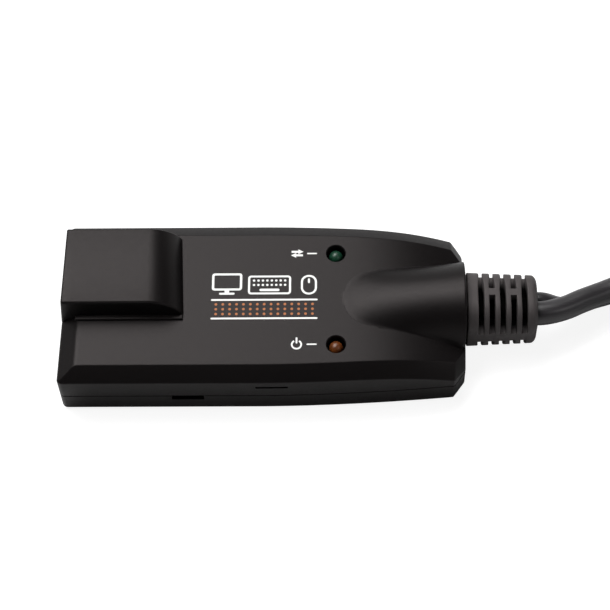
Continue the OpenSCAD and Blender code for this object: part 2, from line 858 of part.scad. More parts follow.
module video_plug_hood() {
    n0 = video_d / 2 + 1.1 * video_d / 5.3;
    n1 = video_d / 2 + 1.85 * video_d / 5.3;
    groove = 0.6 * video_d / 5.3;
    step = neck_l / 10;
    color([0.1, 0.1, 0.11])
        at_video_plug()
            difference() {
                union() {
                    translate([video_plug[0], 0, 0])
                        rotate([0, 90, 0])
                            rotate_extrude()
                                polygon(concat(
                                    [[0, 0]],
                                    [for (i = [0:9]) let (
                                        r = n0 + (n1 - n0) * i / 9,
                                        cut = i % 2 == 1 ? groove : 0,
                                        z = i * step)
                                        each [[r - cut, z], [r - cut, z + step]]],
                                    [[0, neck_l]]));
                    rise(-front_h * 0.45, front_h * 0.45)
                        polygon([
                            [front_x0 - grip_l - touch, -grip_w * 0.3],
                            [front_x0 - grip_l * 0.6, -grip_w / 2],
                            [front_x0 + touch, -grip_w / 2],
                            [front_x0 + touch, grip_w / 2],
                            [front_x0 - grip_l * 0.6, grip_w / 2],
                            [front_x0 - grip_l - touch, grip_w * 0.3]]);
                    along(front_x0, front_x1)
                        round_rect(front_w, front_h, front_h * 0.16);
                }
                for (s = [-1, 1])
                    rod_x(front_x0 - plate_t, front_x1 + plate_t, s * thumb_pitch / 2, 0,
                        shank_d / 2 + bore_gap);
            }
}

module video_plug_collar() {
    color([0.75, 0.75, 0.76])
        at_video_plug() {
            difference() {
                along(front_x1, plate_x1)
                    round_rect(front_w * 0.96, front_h * 0.8, front_h * 0.1);
                along(front_x1 - plate_t, plate_x1 + plate_t)
                    collar_shape(collar_w - 2 * sheet_t, collar_h - 2 * sheet_t);
                for (s = [-1, 1])
                    rod_x(front_x1 - plate_t, plate_x1 + plate_t, s * thumb_pitch / 2, 0,
                        shank_d / 2 + bore_gap);
            }
            along(plate_x1, plate_x1 + collar_l)
                difference() {
                    collar_shape(collar_w, collar_h);
                    collar_shape(collar_w - 2 * sheet_t, collar_h - 2 * sheet_t);
                }
        }
}

module video_plug_insulator() {
    color([0.1, 0.2, 0.6])
        at_video_plug()
            along(front_x1, plate_x1 + plate_t / 2)
                collar_shape(collar_w - 2 * sheet_t, collar_h - 2 * sheet_t);
}

module video_plug_pins() {
    pitch = collar_w * 0.136;
    row = collar_h * 0.236;
    color([0.85, 0.7, 0.35])
        at_video_plug()
            for (r = [-1, 0, 1], i = [-2:2])
                rod_x(plate_x1 + plate_t / 2, plate_x1 + collar_l * 0.85,
                    (i + (r == 0 ? -0.5 : 0) * 0.5) * pitch, r * row, pin_d / 2);
}

module thumbscrew(s) {
    knob_l = 11;
    ribs = 16;
    color([0.12, 0.12, 0.12])
        at_video_plug()
            translate([0, s * thumb_pitch / 2, 0]) {
                difference() {
                    rod_x(front_x0 - fit_gap - knob_l, front_x0 - fit_gap, 0, 0, knob_d / 2);
                    for (i = [1:ribs])
                        rotate([360 * i / ribs, 0, 0])
                            rod_x(front_x0 - fit_gap - knob_l * 0.9, front_x0, 0, knob_d / 2 + knob_d * 0.03,
                                knob_d * 0.06);
                }
                rod_x(front_x0 - plate_t, plate_x1, 0, 0, shank_d / 2);
                rod_x(front_x1, plate_x1 + collar_l, 0, 0, thumb_d / 2);
            }
}

module thumbscrew_near() {
    thumbscrew(-1);
}

module thumbscrew_far() {
    thumbscrew(1);
}

// USB plug, pointing along +X from usb_plug

usb_neck_l = 10;
usb_grip_l = 22;
usb_x0 = usb_plug[0] + usb_neck_l;
usb_x1 = usb_x0 + usb_grip_l;
usb_sheet = 0.3;

module at_usb_plug() {
    translate([0, usb_plug[1], usb_plug[2]])
        children();
}

module usb_plug_hood() {
    color([0.1, 0.1, 0.11])
        at_usb_plug() {
            translate([usb_plug[0], 0, 0])
                rotate([0, 90, 0])
                    cylinder(h = usb_neck_l + touch, r1 = usb_d / 2 * 1.3, r2 = usb_d / 2 * 1.6);
            intersection() {
                along(usb_x0, usb_x1)
                    round_rect(usb_grip_w, usb_grip_h, usb_grip_h * 0.25);
                rise(-usb_grip_h, usb_grip_h)
                    polygon([
                        [usb_x0, -usb_grip_w * 0.34], [usb_x0 + usb_grip_l * 0.16, -usb_grip_w / 2],
                        [usb_x1, -usb_grip_w / 2], [usb_x1, usb_grip_w / 2],
                        [usb_x0 + usb_grip_l * 0.16, usb_grip_w / 2], [usb_x0, usb_grip_w * 0.34]]);
            }
        }
}

module usb_plug_collar() {
    hole = usb_w * 0.2;
    color([0.75, 0.75, 0.76])
        at_usb_plug()
            difference() {
                along(usb_x1, usb_x1 + usb_l)
                    difference() {
                        square([usb_w, usb_h], center = true);
                        square([usb_w - 2 * usb_sheet, usb_h - 2 * usb_sheet], center = true);
                    }
                for (s = [-1, 1])
                    box_between([usb_x1 + usb_l * 0.45, s * usb_w * 0.24 - hole / 2, 0],
                        [usb_x1 + usb_l * 0.45 + hole, s * usb_w * 0.24 + hole / 2, usb_h]);
            }
}

module usb_plug_tongue() {
    color([0.92, 0.92, 0.9])
        at_usb_plug()
            box_between([usb_x1, usb_sheet - usb_w / 2, usb_sheet - usb_h / 2],
                [usb_x1 + usb_l * 0.96, usb_w / 2 - usb_sheet, -usb_h * 0.03]);
}

module usb_plug_contacts() {
    color([0.85, 0.7, 0.35])
        at_usb_plug()
            for (y = [-0.29, -0.083, 0.083, 0.29])
                box_between([usb_x1 + usb_l * 0.1, y * usb_w - usb_w * 0.045, -usb_h * 0.03],
                    [usb_x1 + usb_l * (abs(y) > 0.2 ? 0.9 : 0.82), y * usb_w + usb_w * 0.045, usb_h * 0.02]);
}

upper_shell();
lower_shell();
case_screws();
circuit_board();
jack_body();
jack_shield();
jack_contacts();
green_lamp();
amber_lamp();
controller_chip();
video_chip();
crystal();
capacitors();
video_header();
usb_header();
video_wires();
usb_wires();
bend_relief();
video_cord();
video_cord_hank();
usb_cord();
usb_cord_hank();
cord_tie();
video_plug_hood();
video_plug_collar();
video_plug_insulator();
video_plug_pins();
thumbscrew_near();
thumbscrew_far();
usb_plug_hood();
usb_plug_collar();
usb_plug_tongue();
usb_plug_contacts();
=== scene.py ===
import json
import math

import bmesh
import bpy
import numpy as np
from mathutils import Matrix, Vector

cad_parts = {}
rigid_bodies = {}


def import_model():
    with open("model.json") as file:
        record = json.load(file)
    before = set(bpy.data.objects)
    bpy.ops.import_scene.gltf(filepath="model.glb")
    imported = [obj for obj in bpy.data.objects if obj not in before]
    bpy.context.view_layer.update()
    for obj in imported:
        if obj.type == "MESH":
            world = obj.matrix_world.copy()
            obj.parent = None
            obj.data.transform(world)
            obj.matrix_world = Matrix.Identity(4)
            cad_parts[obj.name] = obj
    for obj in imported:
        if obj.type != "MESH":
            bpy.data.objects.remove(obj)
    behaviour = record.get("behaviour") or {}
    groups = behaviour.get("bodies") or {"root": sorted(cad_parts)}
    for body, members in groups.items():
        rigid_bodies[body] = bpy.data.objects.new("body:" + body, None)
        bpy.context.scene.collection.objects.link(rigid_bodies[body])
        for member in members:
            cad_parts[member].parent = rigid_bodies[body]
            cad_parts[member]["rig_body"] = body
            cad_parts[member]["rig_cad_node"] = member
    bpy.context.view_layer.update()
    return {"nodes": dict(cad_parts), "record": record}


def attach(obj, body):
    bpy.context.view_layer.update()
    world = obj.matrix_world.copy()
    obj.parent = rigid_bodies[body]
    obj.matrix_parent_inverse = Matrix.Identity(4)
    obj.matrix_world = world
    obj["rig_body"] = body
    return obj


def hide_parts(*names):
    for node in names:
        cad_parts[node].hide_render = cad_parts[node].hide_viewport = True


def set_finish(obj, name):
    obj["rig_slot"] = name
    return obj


for leftover in list(bpy.data.objects):
    bpy.data.objects.remove(leftover)
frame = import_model()
scene = bpy.context.scene
MM = 0.001
BODY = "adapter"

# Main sizes in millimetres, the same as in the part's source
BOX_L, BOX_W, DECK, SEAM, WALL = 88.0, 39.0, 14.2, 6.0, 1.6
BEVEL_W, BEVEL_DROP, END_BEVEL = 3.4, 2.2, 3.7
BOOT_L, BOOT_W, BOOT_END = 15.7, 14.6, 13.4
AXIS_Z = 8.8
X0 = -(BOX_L + BOOT_L) / 2
BOOT_X0 = X0 + BOX_L
BOOT_X1 = BOOT_X0 + BOOT_L
VIDEO_D, USB_D = 5.3, 4.2


# Camera, then the cords

PICTURE_PX, FOCAL_PX, CAMERA_AWAY = 610, 1998.6, 441.05


def aim_camera():
    """The camera that was fitted to the photograph: its three angles, its distance and its focal length."""
    elevation, turn, roll = math.radians(61), math.radians(-2.559), math.radians(-2.531)
    ahead = Vector((math.sin(turn) * math.cos(elevation), math.cos(turn) * math.cos(elevation),
                    -math.sin(elevation)))
    level = Vector((math.cos(turn), -math.sin(turn), 0))
    upright = level.cross(ahead)
    right = math.cos(roll) * level + math.sin(roll) * upright
    up = math.cos(roll) * upright - math.sin(roll) * level
    data = bpy.data.cameras.new("camera")
    camera = bpy.data.objects.new("camera", data)
    scene.collection.objects.link(camera)
    target = Vector((0.77, 1.775, 8.0)) * MM
    place = target - ahead * CAMERA_AWAY * MM
    camera.matrix_world = Matrix((
        (right.x, up.x, -ahead.x, place.x),
        (right.y, up.y, -ahead.y, place.y),
        (right.z, up.z, -ahead.z, place.z),
        (0, 0, 0, 1)))
    data.sensor_width = 36
    data.lens = FOCAL_PX / PICTURE_PX * data.sensor_width
    data.clip_start, data.clip_end = 0.01, 10
    scene.camera = camera


aim_camera()


def smooth_line(points, steps):
    """Points along a smooth line through the route points."""
    p = [np.array(q, float) for q in points]
    line = []
    for i in range(len(p) - 1):
        a, b, c, d = p[max(i - 1, 0)], p[i], p[i + 1], p[min(i + 2, len(p) - 1)]
        for k in range(steps):
            t = k / steps
            line.append((2 * b + (c - a) * t + (2 * a - 5 * b + 4 * c - d) * t * t
                         + (3 * b - a - 3 * c + d) * t ** 3) / 2)
    line.append(p[-1])
    return line


VIDEO_ROUTE = [(0.9, -1.5, 0.9), (3.5, -0.9, 0.7), (6.5, 0.3, 0.3), (10, 2.2, -0.2), (15.3, 4.8, -1.1),
               (20.1, 7, -1.3)]
USB_ROUTE = [(0.8, 2.8, -1.6), (2.1, 2.85, -2.1), (3.8, 2.8, -3.1), (5.9, 2.9, -4.2), (7.9, 3.4, -5),
             (10.4, 4.6, -5.6), (13.2, 5.8, -6.2), (17.1, 7.2, -6.5), (21.1, 8.9, -6.6)]
VIDEO_LEAD = [(72, 7, 7.5), (76.8, 9.2, 7.3), (80, 10, 6.9), (84, 11, 5.6), (88, 11.9, 3.9), (92, 12.4, 2.8),
              (97, 12.5, 2.65)]
USB_LEAD = [(73, 8.9, 2.2), (77, 10.6, 2.1), (80, 13, 2.1), (84, 16, 2.1), (88, 17.5, 2.1), (92, 17.7, 2.1),
            (98, 17.7, 2.1)]
VIDEO_REST = [(143, 0.6, 9.7), (151, -1, 9.4), (159, -3.4, 9.2), (167, -6.2, 9), (175, -8.9, 8.8),
              (182, -10.8, 8.5), (188.5, -12, 7.8), (194, -12, 7.8)]
USB_REST = [(143, 6.7, 10.1), (151, 7.9, 9.8), (159, 9.4, 9.3), (167, 10.9, 8.8), (175, 12.1, 8),
            (181, 12.7, 6.8), (186, 13, 4.9), (189.6, 13, 4), (194, 13, 4)]
HANK_X, HANK_Y, RUN_L, LIFT = 135.0, -3.5, 60.0, 1.3
IN_BOOT = 1.2                       # each cord starts this far inside the boot


def bump(u):
    """0 at both ends of 0-1 and 1 in the middle."""
    return (1 - math.cos(2 * math.pi * u)) / 2


def ease(u):
    """0 to 1 with soft ends."""
    return (1 - math.cos(math.pi * u)) / 2


def hank_run(side, way, u0, u1, n, fold, waist, z0, z1):
    """One long side of the folded cord, drawn in to the waist where the tie holds it."""
    run = []
    for i in range(n + 1):
        u = u0 + (u1 - u0) * i / n
        run.append((HANK_X + way * RUN_L * (u - 0.5), HANK_Y + side * (fold - (fold - waist) * bump(u)),
                    z0 + (z1 - z0) * ease(u) + LIFT * bump(u)))
    return run


def hank_fold(way, start, fold, z):
    """The half turn at one end of the folded cord."""
    return [(HANK_X + way * RUN_L / 2 + fold * math.cos(math.radians(start - 15 * i)),
             HANK_Y + fold * math.sin(math.radians(start - 15 * i)), z) for i in range(1, 12)]


def cord_line(route, lead, rest, fold, waist, low, high):
    """The whole cord from the bend relief to its plug, folded up as in the part's source."""
    seen = [(BOOT_X1 + x, y, AXIS_Z + z) for x, y, z in [(-IN_BOOT, *route[0][1:])] + route]
    away = (lead + hank_run(1, 1, 0, 1, 8, fold, waist, low, low) + hank_fold(1, 90, fold, low)
            + hank_run(-1, -1, 0, 1, 8, fold, waist, low, high) + hank_fold(-1, 270, fold, high)
            + hank_run(1, 1, 0, 0.5, 4, fold, waist, high, high) + rest)
    return smooth_line(seen, 4)[:-1] + smooth_line(away, 3)


def sweep(name, line, radius, sides):
    """A closed tube along a line in millimetres, with a UV map that runs along it."""
    line = [Vector(p) for p in line]
    verts, faces = [], []
    count = len(line)
    run = 0.0
    along = []
    for i, p in enumerate(line):
        ahead = (line[min(i + 1, count - 1)] - line[max(i - 1, 0)]).normalized()
        side = Vector((0, 0, 1)).cross(ahead).normalized()
        up = ahead.cross(side)
        if i:
            run += (p - line[i - 1]).length
        along.append(run)
        for k in range(sides):
            a = 2 * math.pi * k / sides
            verts.append((p + radius * (math.cos(a) * side + math.sin(a) * up)) * MM)
    for i in range(count - 1):
        for k in range(sides):
            n = (k + 1) % sides
            faces.append((i * sides + k, i * sides + n, (i + 1) * sides + n, (i + 1) * sides + k))
    faces.append(tuple(range(sides))[::-1])
    faces.append(tuple((count - 1) * sides + k for k in range(sides)))
    mesh = bpy.data.meshes.new(name)
    mesh.from_pydata(verts, [], faces)
    uv = mesh.uv_layers.new(name="along")
    for poly in mesh.polygons:
        for corner in poly.loop_indices:
            v = mesh.loops[corner].vertex_index
            k = v % sides
            if poly.index < (count - 1) * sides and k == 0 and poly.index % sides == sides - 1:
                k = sides
            uv.data[corner].uv = (along[v // sides] * MM, k / sides)
    obj = bpy.data.objects.new(name, mesh)
    scene.collection.objects.link(obj)
    for poly in mesh.polygons:
        poly.use_smooth = len(poly.vertices) == 4
    return obj


def make_cords():
    video = cord_line(VIDEO_ROUTE, VIDEO_LEAD, VIDEO_REST, 16.3, 4.6, 2.65, 8.5)
    usb = cord_line(USB_ROUTE, USB_LEAD, USB_REST, 21.5, 9.9, 2.1, 8.9)
    made = []
    for name, line, d, nodes, parts in (
            ("display_cord", video, VIDEO_D, ("video_cord", "video_cord_hank"),
             ("video_plug_hood", "video_plug_collar", "video_plug_insulator", "video_plug_pins",
              "thumbscrew_near", "thumbscrew_far", "cord_tie")),
            ("usb_cord_jacket", usb, USB_D, ("usb_cord", "usb_cord_hank"),
             ("usb_plug_hood", "usb_plug_collar", "usb_plug_tongue", "usb_plug_contacts"))):
        cord = sweep(name, line, d / 2, 28)
        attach(cord, BODY)
        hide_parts(*nodes)
        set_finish(cord, "cord_jacket")
        made.append(cord)
    return made


display_cord, usb_cord = make_cords()


# Finishes

def shader(name):
    """A new material with its Principled shader and Object coordinates."""
    mat = bpy.data.materials.new(name)
    mat.use_nodes = True
    tree = mat.node_tree
    skin = tree.nodes["Principled BSDF"]
    place = tree.nodes.new("ShaderNodeTexCoord").outputs["Object"]
    return mat, tree, skin, place


def noise(tree, place, scale, detail=3):
    node = tree.nodes.new("ShaderNodeTexNoise")
    node.inputs["Scale"].default_value = scale
    node.inputs["Detail"].default_value = detail
    node.inputs["Roughness"].default_value = 0.6
    tree.links.new(place, node.inputs["Vector"])
    return node.outputs["Fac"]


def spread(tree, value, low, high):
    """A 0-1 value mapped softly to low-high."""
    node = tree.nodes.new("ShaderNodeMapRange")
    node.inputs["From Min"].default_value = 0.3
    node.inputs["From Max"].default_value = 0.7
    node.inputs["To Min"].default_value = low
    node.inputs["To Max"].default_value = high
    tree.links.new(value, node.inputs["Value"])
    return node.outputs["Result"]


def two_tones(tree, value, dark, light):
    node = tree.nodes.new("ShaderNodeMix")
    node.data_type = "RGBA"
    node.inputs[6].default_value = (*dark, 1)
    node.inputs[7].default_value = (*light, 1)
    tree.links.new(value, node.inputs[0])
    return node.outputs[2]


def relief(tree, skin, height, strength, depth_mm):
    node = tree.nodes.new("ShaderNodeBump")
    node.inputs["Strength"].default_value = strength
    node.inputs["Distance"].default_value = depth_mm * MM
    tree.links.new(height, node.inputs["Height"])
    tree.links.new(node.outputs["Normal"], skin.inputs["Normal"])


def grained(name, colour, rough, grain=1500, depth_mm=0.02, strength=0.35, tone=0.12, spec=0.5):
    """Moulded surface: slow colour drift, uneven gloss and a fine grain."""
    mat, tree, skin, place = shader(name)
    drift = noise(tree, place, 90, 2)
    dark = [c * (1 - tone) for c in colour]
    light = [min(c * (1 + tone), 1) for c in colour]
    tree.links.new(two_tones(tree, drift, dark, light), skin.inputs["Base Color"])
    fine = noise(tree, place, grain, 4)
    tree.links.new(spread(tree, fine, rough - 0.05, rough + 0.05), skin.inputs["Roughness"])
    relief(tree, skin, fine, strength, depth_mm)
    skin.inputs["Specular IOR Level"].default_value = spec
    skin.inputs["Specular Tint"].default_value = (1.0, 0.92, 0.91, 1)
    return mat


def cord_jacket():
    """Extruded jacket: faint lengthwise drawing lines and a soft bloom, on the tube's own map."""
    mat, tree, skin, place = shader("cord_jacket")
    uv = tree.nodes.new("ShaderNodeUVMap")
    uv.uv_map = "along"
    stretch = tree.nodes.new("ShaderNodeMapping")
    stretch.inputs["Scale"].default_value = (60, 34, 1)
    tree.links.new(uv.outputs["UV"], stretch.inputs["Vector"])
    lines = noise(tree, stretch.outputs["Vector"], 1, 3)
    bloom = noise(tree, place, 160, 3)
    tree.links.new(two_tones(tree, bloom, (0.011, 0.0098, 0.011), (0.016, 0.014, 0.016)),
                   skin.inputs["Base Color"])
    tree.links.new(spread(tree, lines, 0.35, 0.43), skin.inputs["Roughness"])
    relief(tree, skin, lines, 0.25, 0.03)
    skin.inputs["Specular IOR Level"].default_value = 0.44
    return mat


def rubber_with_painted_slot_shade():
    """Matt rubber of the bend relief with painted shade in its slots: colour and gloss go darker and duller
    down inside them.
    """
    gloss = 0.3
    mat = grained("boot_rubber", (0.038, 0.034, 0.034), 0.6, grain=1200, strength=0.25, spec=gloss)
    tree = mat.node_tree
    skin = tree.nodes["Principled BSDF"]
    tone = skin.inputs["Base Color"].links[0].from_socket
    place = tree.nodes.new("ShaderNodeTexCoord").outputs["Object"]
    # distance from the boot's own axis
    across = tree.nodes.new("ShaderNodeMapping")
    across.inputs["Scale"].default_value = (0, 1, 1)
    across.inputs["Location"].default_value = (0, 0, -AXIS_Z * MM)
    tree.links.new(place, across.inputs["Vector"])
    away = tree.nodes.new("ShaderNodeVectorMath")
    away.operation = "LENGTH"
    tree.links.new(across.outputs["Vector"], away.inputs[0])
    painted_shade_fade = tree.nodes.new("ShaderNodeMapRange")
    for label, value in (("From Min", 4.6 * MM), ("From Max", 6.5 * MM), ("To Min", 0.0), ("To Max", 1.0)):
        painted_shade_fade.inputs[label].default_value = value
    tree.links.new(away.outputs["Value"], painted_shade_fade.inputs["Value"])
    # painted shade: deep in the slots the base colour fades to near black, standing in for the shadow there
    painted_slot_shade = tree.nodes.new("ShaderNodeMix")
    painted_slot_shade.data_type = "RGBA"
    painted_slot_shade.inputs[6].default_value = (0.004, 0.0037, 0.0037, 1)
    tree.links.new(tone, painted_slot_shade.inputs[7])
    tree.links.new(painted_shade_fade.outputs["Result"], painted_slot_shade.inputs[0])
    tree.links.new(painted_slot_shade.outputs[2], skin.inputs["Base Color"])
    # painted shade: the gloss also fades out deep in the slots, so no highlight shows there
    painted_slot_dulling = tree.nodes.new("ShaderNodeMath")
    painted_slot_dulling.operation = "MULTIPLY"
    painted_slot_dulling.inputs[1].default_value = gloss
    tree.links.new(painted_shade_fade.outputs["Result"], painted_slot_dulling.inputs[0])
    tree.links.new(painted_slot_dulling.outputs[0], skin.inputs["Specular IOR Level"])
    return mat


def lens(name, colour):
    """Tinted, partly clear resin of a lamp that is off."""
    mat, tree, skin, place = shader(name)
    cloud = noise(tree, place, 1400, 3)
    tree.links.new(two_tones(tree, spread(tree, cloud, 0, 1), [c * 0.45 for c in colour], colour),
                   skin.inputs["Base Color"])
    skin.inputs["Roughness"].default_value = 0.38
    skin.inputs["Transmission Weight"].default_value = 0.25
    skin.inputs["IOR"].default_value = 1.5
    skin.inputs["Specular IOR Level"].default_value = 0.3
    return mat


def board_mask():
    """Green solder mask with copper tracks under it."""
    mat, tree, skin, place = shader("board_mask")
    tracks = tree.nodes.new("ShaderNodeTexBrick")
    tracks.inputs["Scale"].default_value = 260
    tracks.inputs["Mortar Size"].default_value = 0.05
    tracks.inputs["Color1"].default_value = (0.01, 0.12, 0.04, 1)
    tracks.inputs["Color2"].default_value = (0.012, 0.14, 0.05, 1)
    tracks.inputs["Mortar"].default_value = (0.03, 0.22, 0.08, 1)
    tree.links.new(place, tracks.inputs["Vector"])
    tree.links.new(tracks.outputs["Color"], skin.inputs["Base Color"])
    skin.inputs["Roughness"].default_value = 0.32
    relief(tree, skin, tracks.outputs["Fac"], 0.3, 0.03)
    return mat


def brushed(name, colour, rough, stretch=(12, 900, 900)):
    """Drawn or plated metal with fine lines one way."""
    mat, tree, skin, place = shader(name)
    turn = tree.nodes.new("ShaderNodeMapping")
    turn.inputs["Scale"].default_value = stretch
    tree.links.new(place, turn.inputs["Vector"])
    lines = noise(tree, turn.outputs["Vector"], 4, 4)
    tree.links.new(two_tones(tree, lines, [c * 0.9 for c in colour], colour), skin.inputs["Base Color"])
    tree.links.new(spread(tree, lines, rough - 0.06, rough + 0.08), skin.inputs["Roughness"])
    skin.inputs["Metallic"].default_value = 1
    relief(tree, skin, lines, 0.15, 0.01)
    return mat


FINISH = {
    "housing": grained("housing_black", (0.0038, 0.0032, 0.0033), 0.4, grain=1900, depth_mm=0.012,
                       strength=0.2, spec=0.125),
    "boot_rubber": rubber_with_painted_slot_shade(),
    "cord_jacket": cord_jacket(),
    "board": board_mask(),
    "jack_plastic": grained("jack_plastic", (0.025, 0.025, 0.026), 0.45),
    "sheet_metal": brushed("tinned_sheet", (0.66, 0.66, 0.64), 0.32),
    "gold": brushed("gold_plate", (0.83, 0.6, 0.25), 0.25),
    "green_lens": lens("green_lens", (0.008, 0.06, 0.03)),
    "amber_lens": lens("amber_lens", (0.16, 0.042, 0.007)),
    "chip_resin": grained("chip_resin", (0.03, 0.03, 0.032), 0.5, grain=2500),
    "can_metal": brushed("drawn_can", (0.72, 0.72, 0.72), 0.3, (900, 900, 12)),
    "header_plastic": grained("header_plastic", (0.8, 0.77, 0.66), 0.45, tone=0.05),
    "wire_red": grained("wire_red", (0.5, 0.05, 0.04), 0.4),
    "wire_green": grained("wire_green", (0.05, 0.34, 0.1), 0.4),
    "screw_steel": brushed("screw_zinc", (0.55, 0.55, 0.56), 0.35, (900, 900, 40)),
    "plug_plastic": grained("plug_plastic", (0.035, 0.034, 0.036), 0.5, grain=1500, depth_mm=0.03),
    "nickel": brushed("nickel_plate", (0.72, 0.71, 0.68), 0.26),
    "blue_plastic": grained("blue_insulator", (0.02, 0.07, 0.42), 0.35, tone=0.06),
    "white_plastic": grained("white_tongue", (0.8, 0.8, 0.78), 0.35, tone=0.03),
    "thumb_plastic": grained("thumb_black", (0.03, 0.03, 0.031), 0.42),
    "tie_rubber": grained("tie_rubber", (0.02, 0.02, 0.021), 0.6, grain=700),
}
SLOT_OF = {row["node"]: row["material_slot"] for row in frame["record"]["subparts"]}


def wear(obj, slot):
    obj.data.materials.clear()
    obj.data.materials.append(FINISH[slot])
    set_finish(obj, slot)


for node_name, node_obj in frame["nodes"].items():
    wear(node_obj, SLOT_OF[node_name])
for cord in (display_cord, usb_cord):
    wear(cord, "cord_jacket")


# Making meshes

MERGE = 0.0005


def new_piece(name, verts, faces, angle=38):
    """A piece from points in millimetres, with its faces turned outwards and edges kept over an angle."""
    mesh = bpy.data.meshes.new(name)
    mesh.from_pydata([[c * MM for c in v] for v in verts], [], faces)
    obj = bpy.data.objects.new(name, mesh)
    scene.collection.objects.link(obj)
    tidy(obj, angle)
    return obj


def tidy(obj, angle=38):
    """Merged points, faces outwards, smooth shading with edges kept over an angle."""
    bm = bmesh.new()
    bm.from_mesh(obj.data)
    bmesh.ops.remove_doubles(bm, verts=bm.verts, dist=MERGE * MM)
    bmesh.ops.recalc_face_normals(bm, faces=bm.faces)
    for face in bm.faces:
        face.smooth = True
    bm.to_mesh(obj.data)
    bm.free()
    obj.data.set_sharp_from_angle(angle=math.radians(angle))
    obj.data.update()


def apply_all(obj):
    """The evaluated mesh takes the place of the mesh and its modifiers."""
    made = bpy.data.meshes.new_from_object(obj.evaluated_get(bpy.context.evaluated_depsgraph_get()))
    obj.modifiers.clear()
    old = obj.data
    obj.data = made
    bpy.data.meshes.remove(old)


def triangulated(obj):
    bm = bmesh.new()
    bm.from_mesh(obj.data)
    bmesh.ops.remove_doubles(bm, verts=bm.verts, dist=MERGE * MM)
    bmesh.ops.triangulate(bm, faces=bm.faces)
    bm.to_mesh(obj.data)
    bm.free()


def carve(obj, tools, how):
    """Joins tools to obj or cuts them from it, one after the other, and removes them."""
    for tool in tools:
        triangulated(obj)
        triangulated(tool)
        mod = obj.modifiers.new("carve", "BOOLEAN")
        mod.operation = how
        mod.solver = "MANIFOLD"
        mod.object = tool
        apply_all(obj)
        bpy.data.objects.remove(tool)


def skin_rows(rows):
    """Faces over a list of equally long rows of points that wrap round, with both ends capped."""
    n = len(rows[0])
    verts = [p for row in rows for p in row]
    faces = []
    for i in range(len(rows) - 1):
        for k in range(n):
            j = (k + 1) % n
            faces.append((i * n + k, i * n + j, (i + 1) * n + j, (i + 1) * n + k))
    faces.append(tuple(range(n))[::-1])
    faces.append(tuple((len(rows) - 1) * n + k for k in range(n)))
    return verts, faces


def block_shape(low, high, r):
    """A closed box with rounded edges, in millimetres."""
    bm = bmesh.new()
    bmesh.ops.create_cube(bm, size=1)
    size = [b - a for a, b in zip(low, high)]
    for v in bm.verts:
        v.co = Vector([(a + b) / 2 + c * s for a, b, c, s in zip(low, high, v.co, size)]) * MM
    if r:
        bmesh.ops.bevel(bm, geom=bm.edges[:], offset=r * MM, segments=3, profile=0.5, affect="EDGES")
    mesh = bpy.data.meshes.new("block")
    bm.to_mesh(mesh)
    bm.free()
    obj = bpy.data.objects.new("block", mesh)
    scene.collection.objects.link(obj)
    tidy(obj)
    return obj


def turned(profile, centre, name):
    """A turned solid from (radius, height) pairs in millimetres."""
    sides = 48
    rows = []
    for r, h in profile:
        ring = []
        for k in range(sides):
            a = 2 * math.pi * k / sides
            c, s = max(r, 0.0001) * math.cos(a), max(r, 0.0001) * math.sin(a)
            ring.append((centre[0] + c, centre[1] + s, centre[2] + h))
        rows.append(ring)
    return new_piece(name, *skin_rows(rows))


def softened(node, width_mm):
    """A copy of a CAD node with merged faces and rounded edges, which stands for it."""
    obj = frame["nodes"][node].copy()
    obj.data = obj.data.copy()
    obj.name = node + "_soft"
    obj.parent = None
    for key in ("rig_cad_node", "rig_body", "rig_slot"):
        if key in obj:
            del obj[key]
    scene.collection.objects.link(obj)
    bm = bmesh.new()
    bm.from_mesh(obj.data)
    bmesh.ops.remove_doubles(bm, verts=bm.verts, dist=0.002 * MM)
    bmesh.ops.dissolve_limit(bm, angle_limit=math.radians(1), verts=bm.verts, edges=bm.edges)
    bmesh.ops.recalc_face_normals(bm, faces=bm.faces)
    bm.to_mesh(obj.data)
    bm.free()
    mod = obj.modifiers.new("rounding", "BEVEL")
    mod.width = width_mm * MM
    mod.segments = 2
    mod.limit_method = "ANGLE"
    mod.angle_limit = math.radians(30)
    mod.harden_normals = False
    apply_all(obj)
    tidy(obj, 40)
    wear(obj, SLOT_OF[node])
    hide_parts(node)
    return obj


# The two shells

def ramp(x, start_share, rise, power):
    """0 up to a share of the box's length, then growing to rise at the cord end."""
    start = start_share * BOX_L
    return rise * np.maximum(0, (x - start) / (BOX_L - start)) ** power


def half_width(x):
    """Half the box's width at x from the jack end."""
    return BOX_W / 2 - ramp(x, 0.489, 2.3, 1.77)


def fall(x):
    """How far the deck has fallen at x from the jack end."""
    return ramp(x, 0.6875, 4.5, 2.61)


# The hump begins at HUMP_X, has its full width from HUMP_FULL_X on and widens and rises towards the cords
HUMP_X, HUMP_FULL_X, HUMP_W, HUMP_SPREAD, RIDGE_RISE = 61.3, 66.5, 6.35, 0.195, 0.18


def hump_size(x, inset=0.0):
    """Half width of the hump at the deck and its height over it, at x from the jack end."""
    if x <= HUMP_X:
        return 0.0, 0.0
    share = max(HUMP_FULL_X - x, 0) / (HUMP_FULL_X - HUMP_X)
    nose = max(1 - share ** 2.4, 0) ** (1 / 2.4)
    width = (HUMP_W + HUMP_SPREAD * (x - HUMP_FULL_X)) * nose
    ridge = BLOCK_H - 0.4 - RIDGE_RISE * (BOX_L - x) - 0.25 * (1 - nose)
    height = ridge - (DECK - float(fall(x)))
    return max(width - inset, 0.0), max(height - inset * 0.2, 0.0)


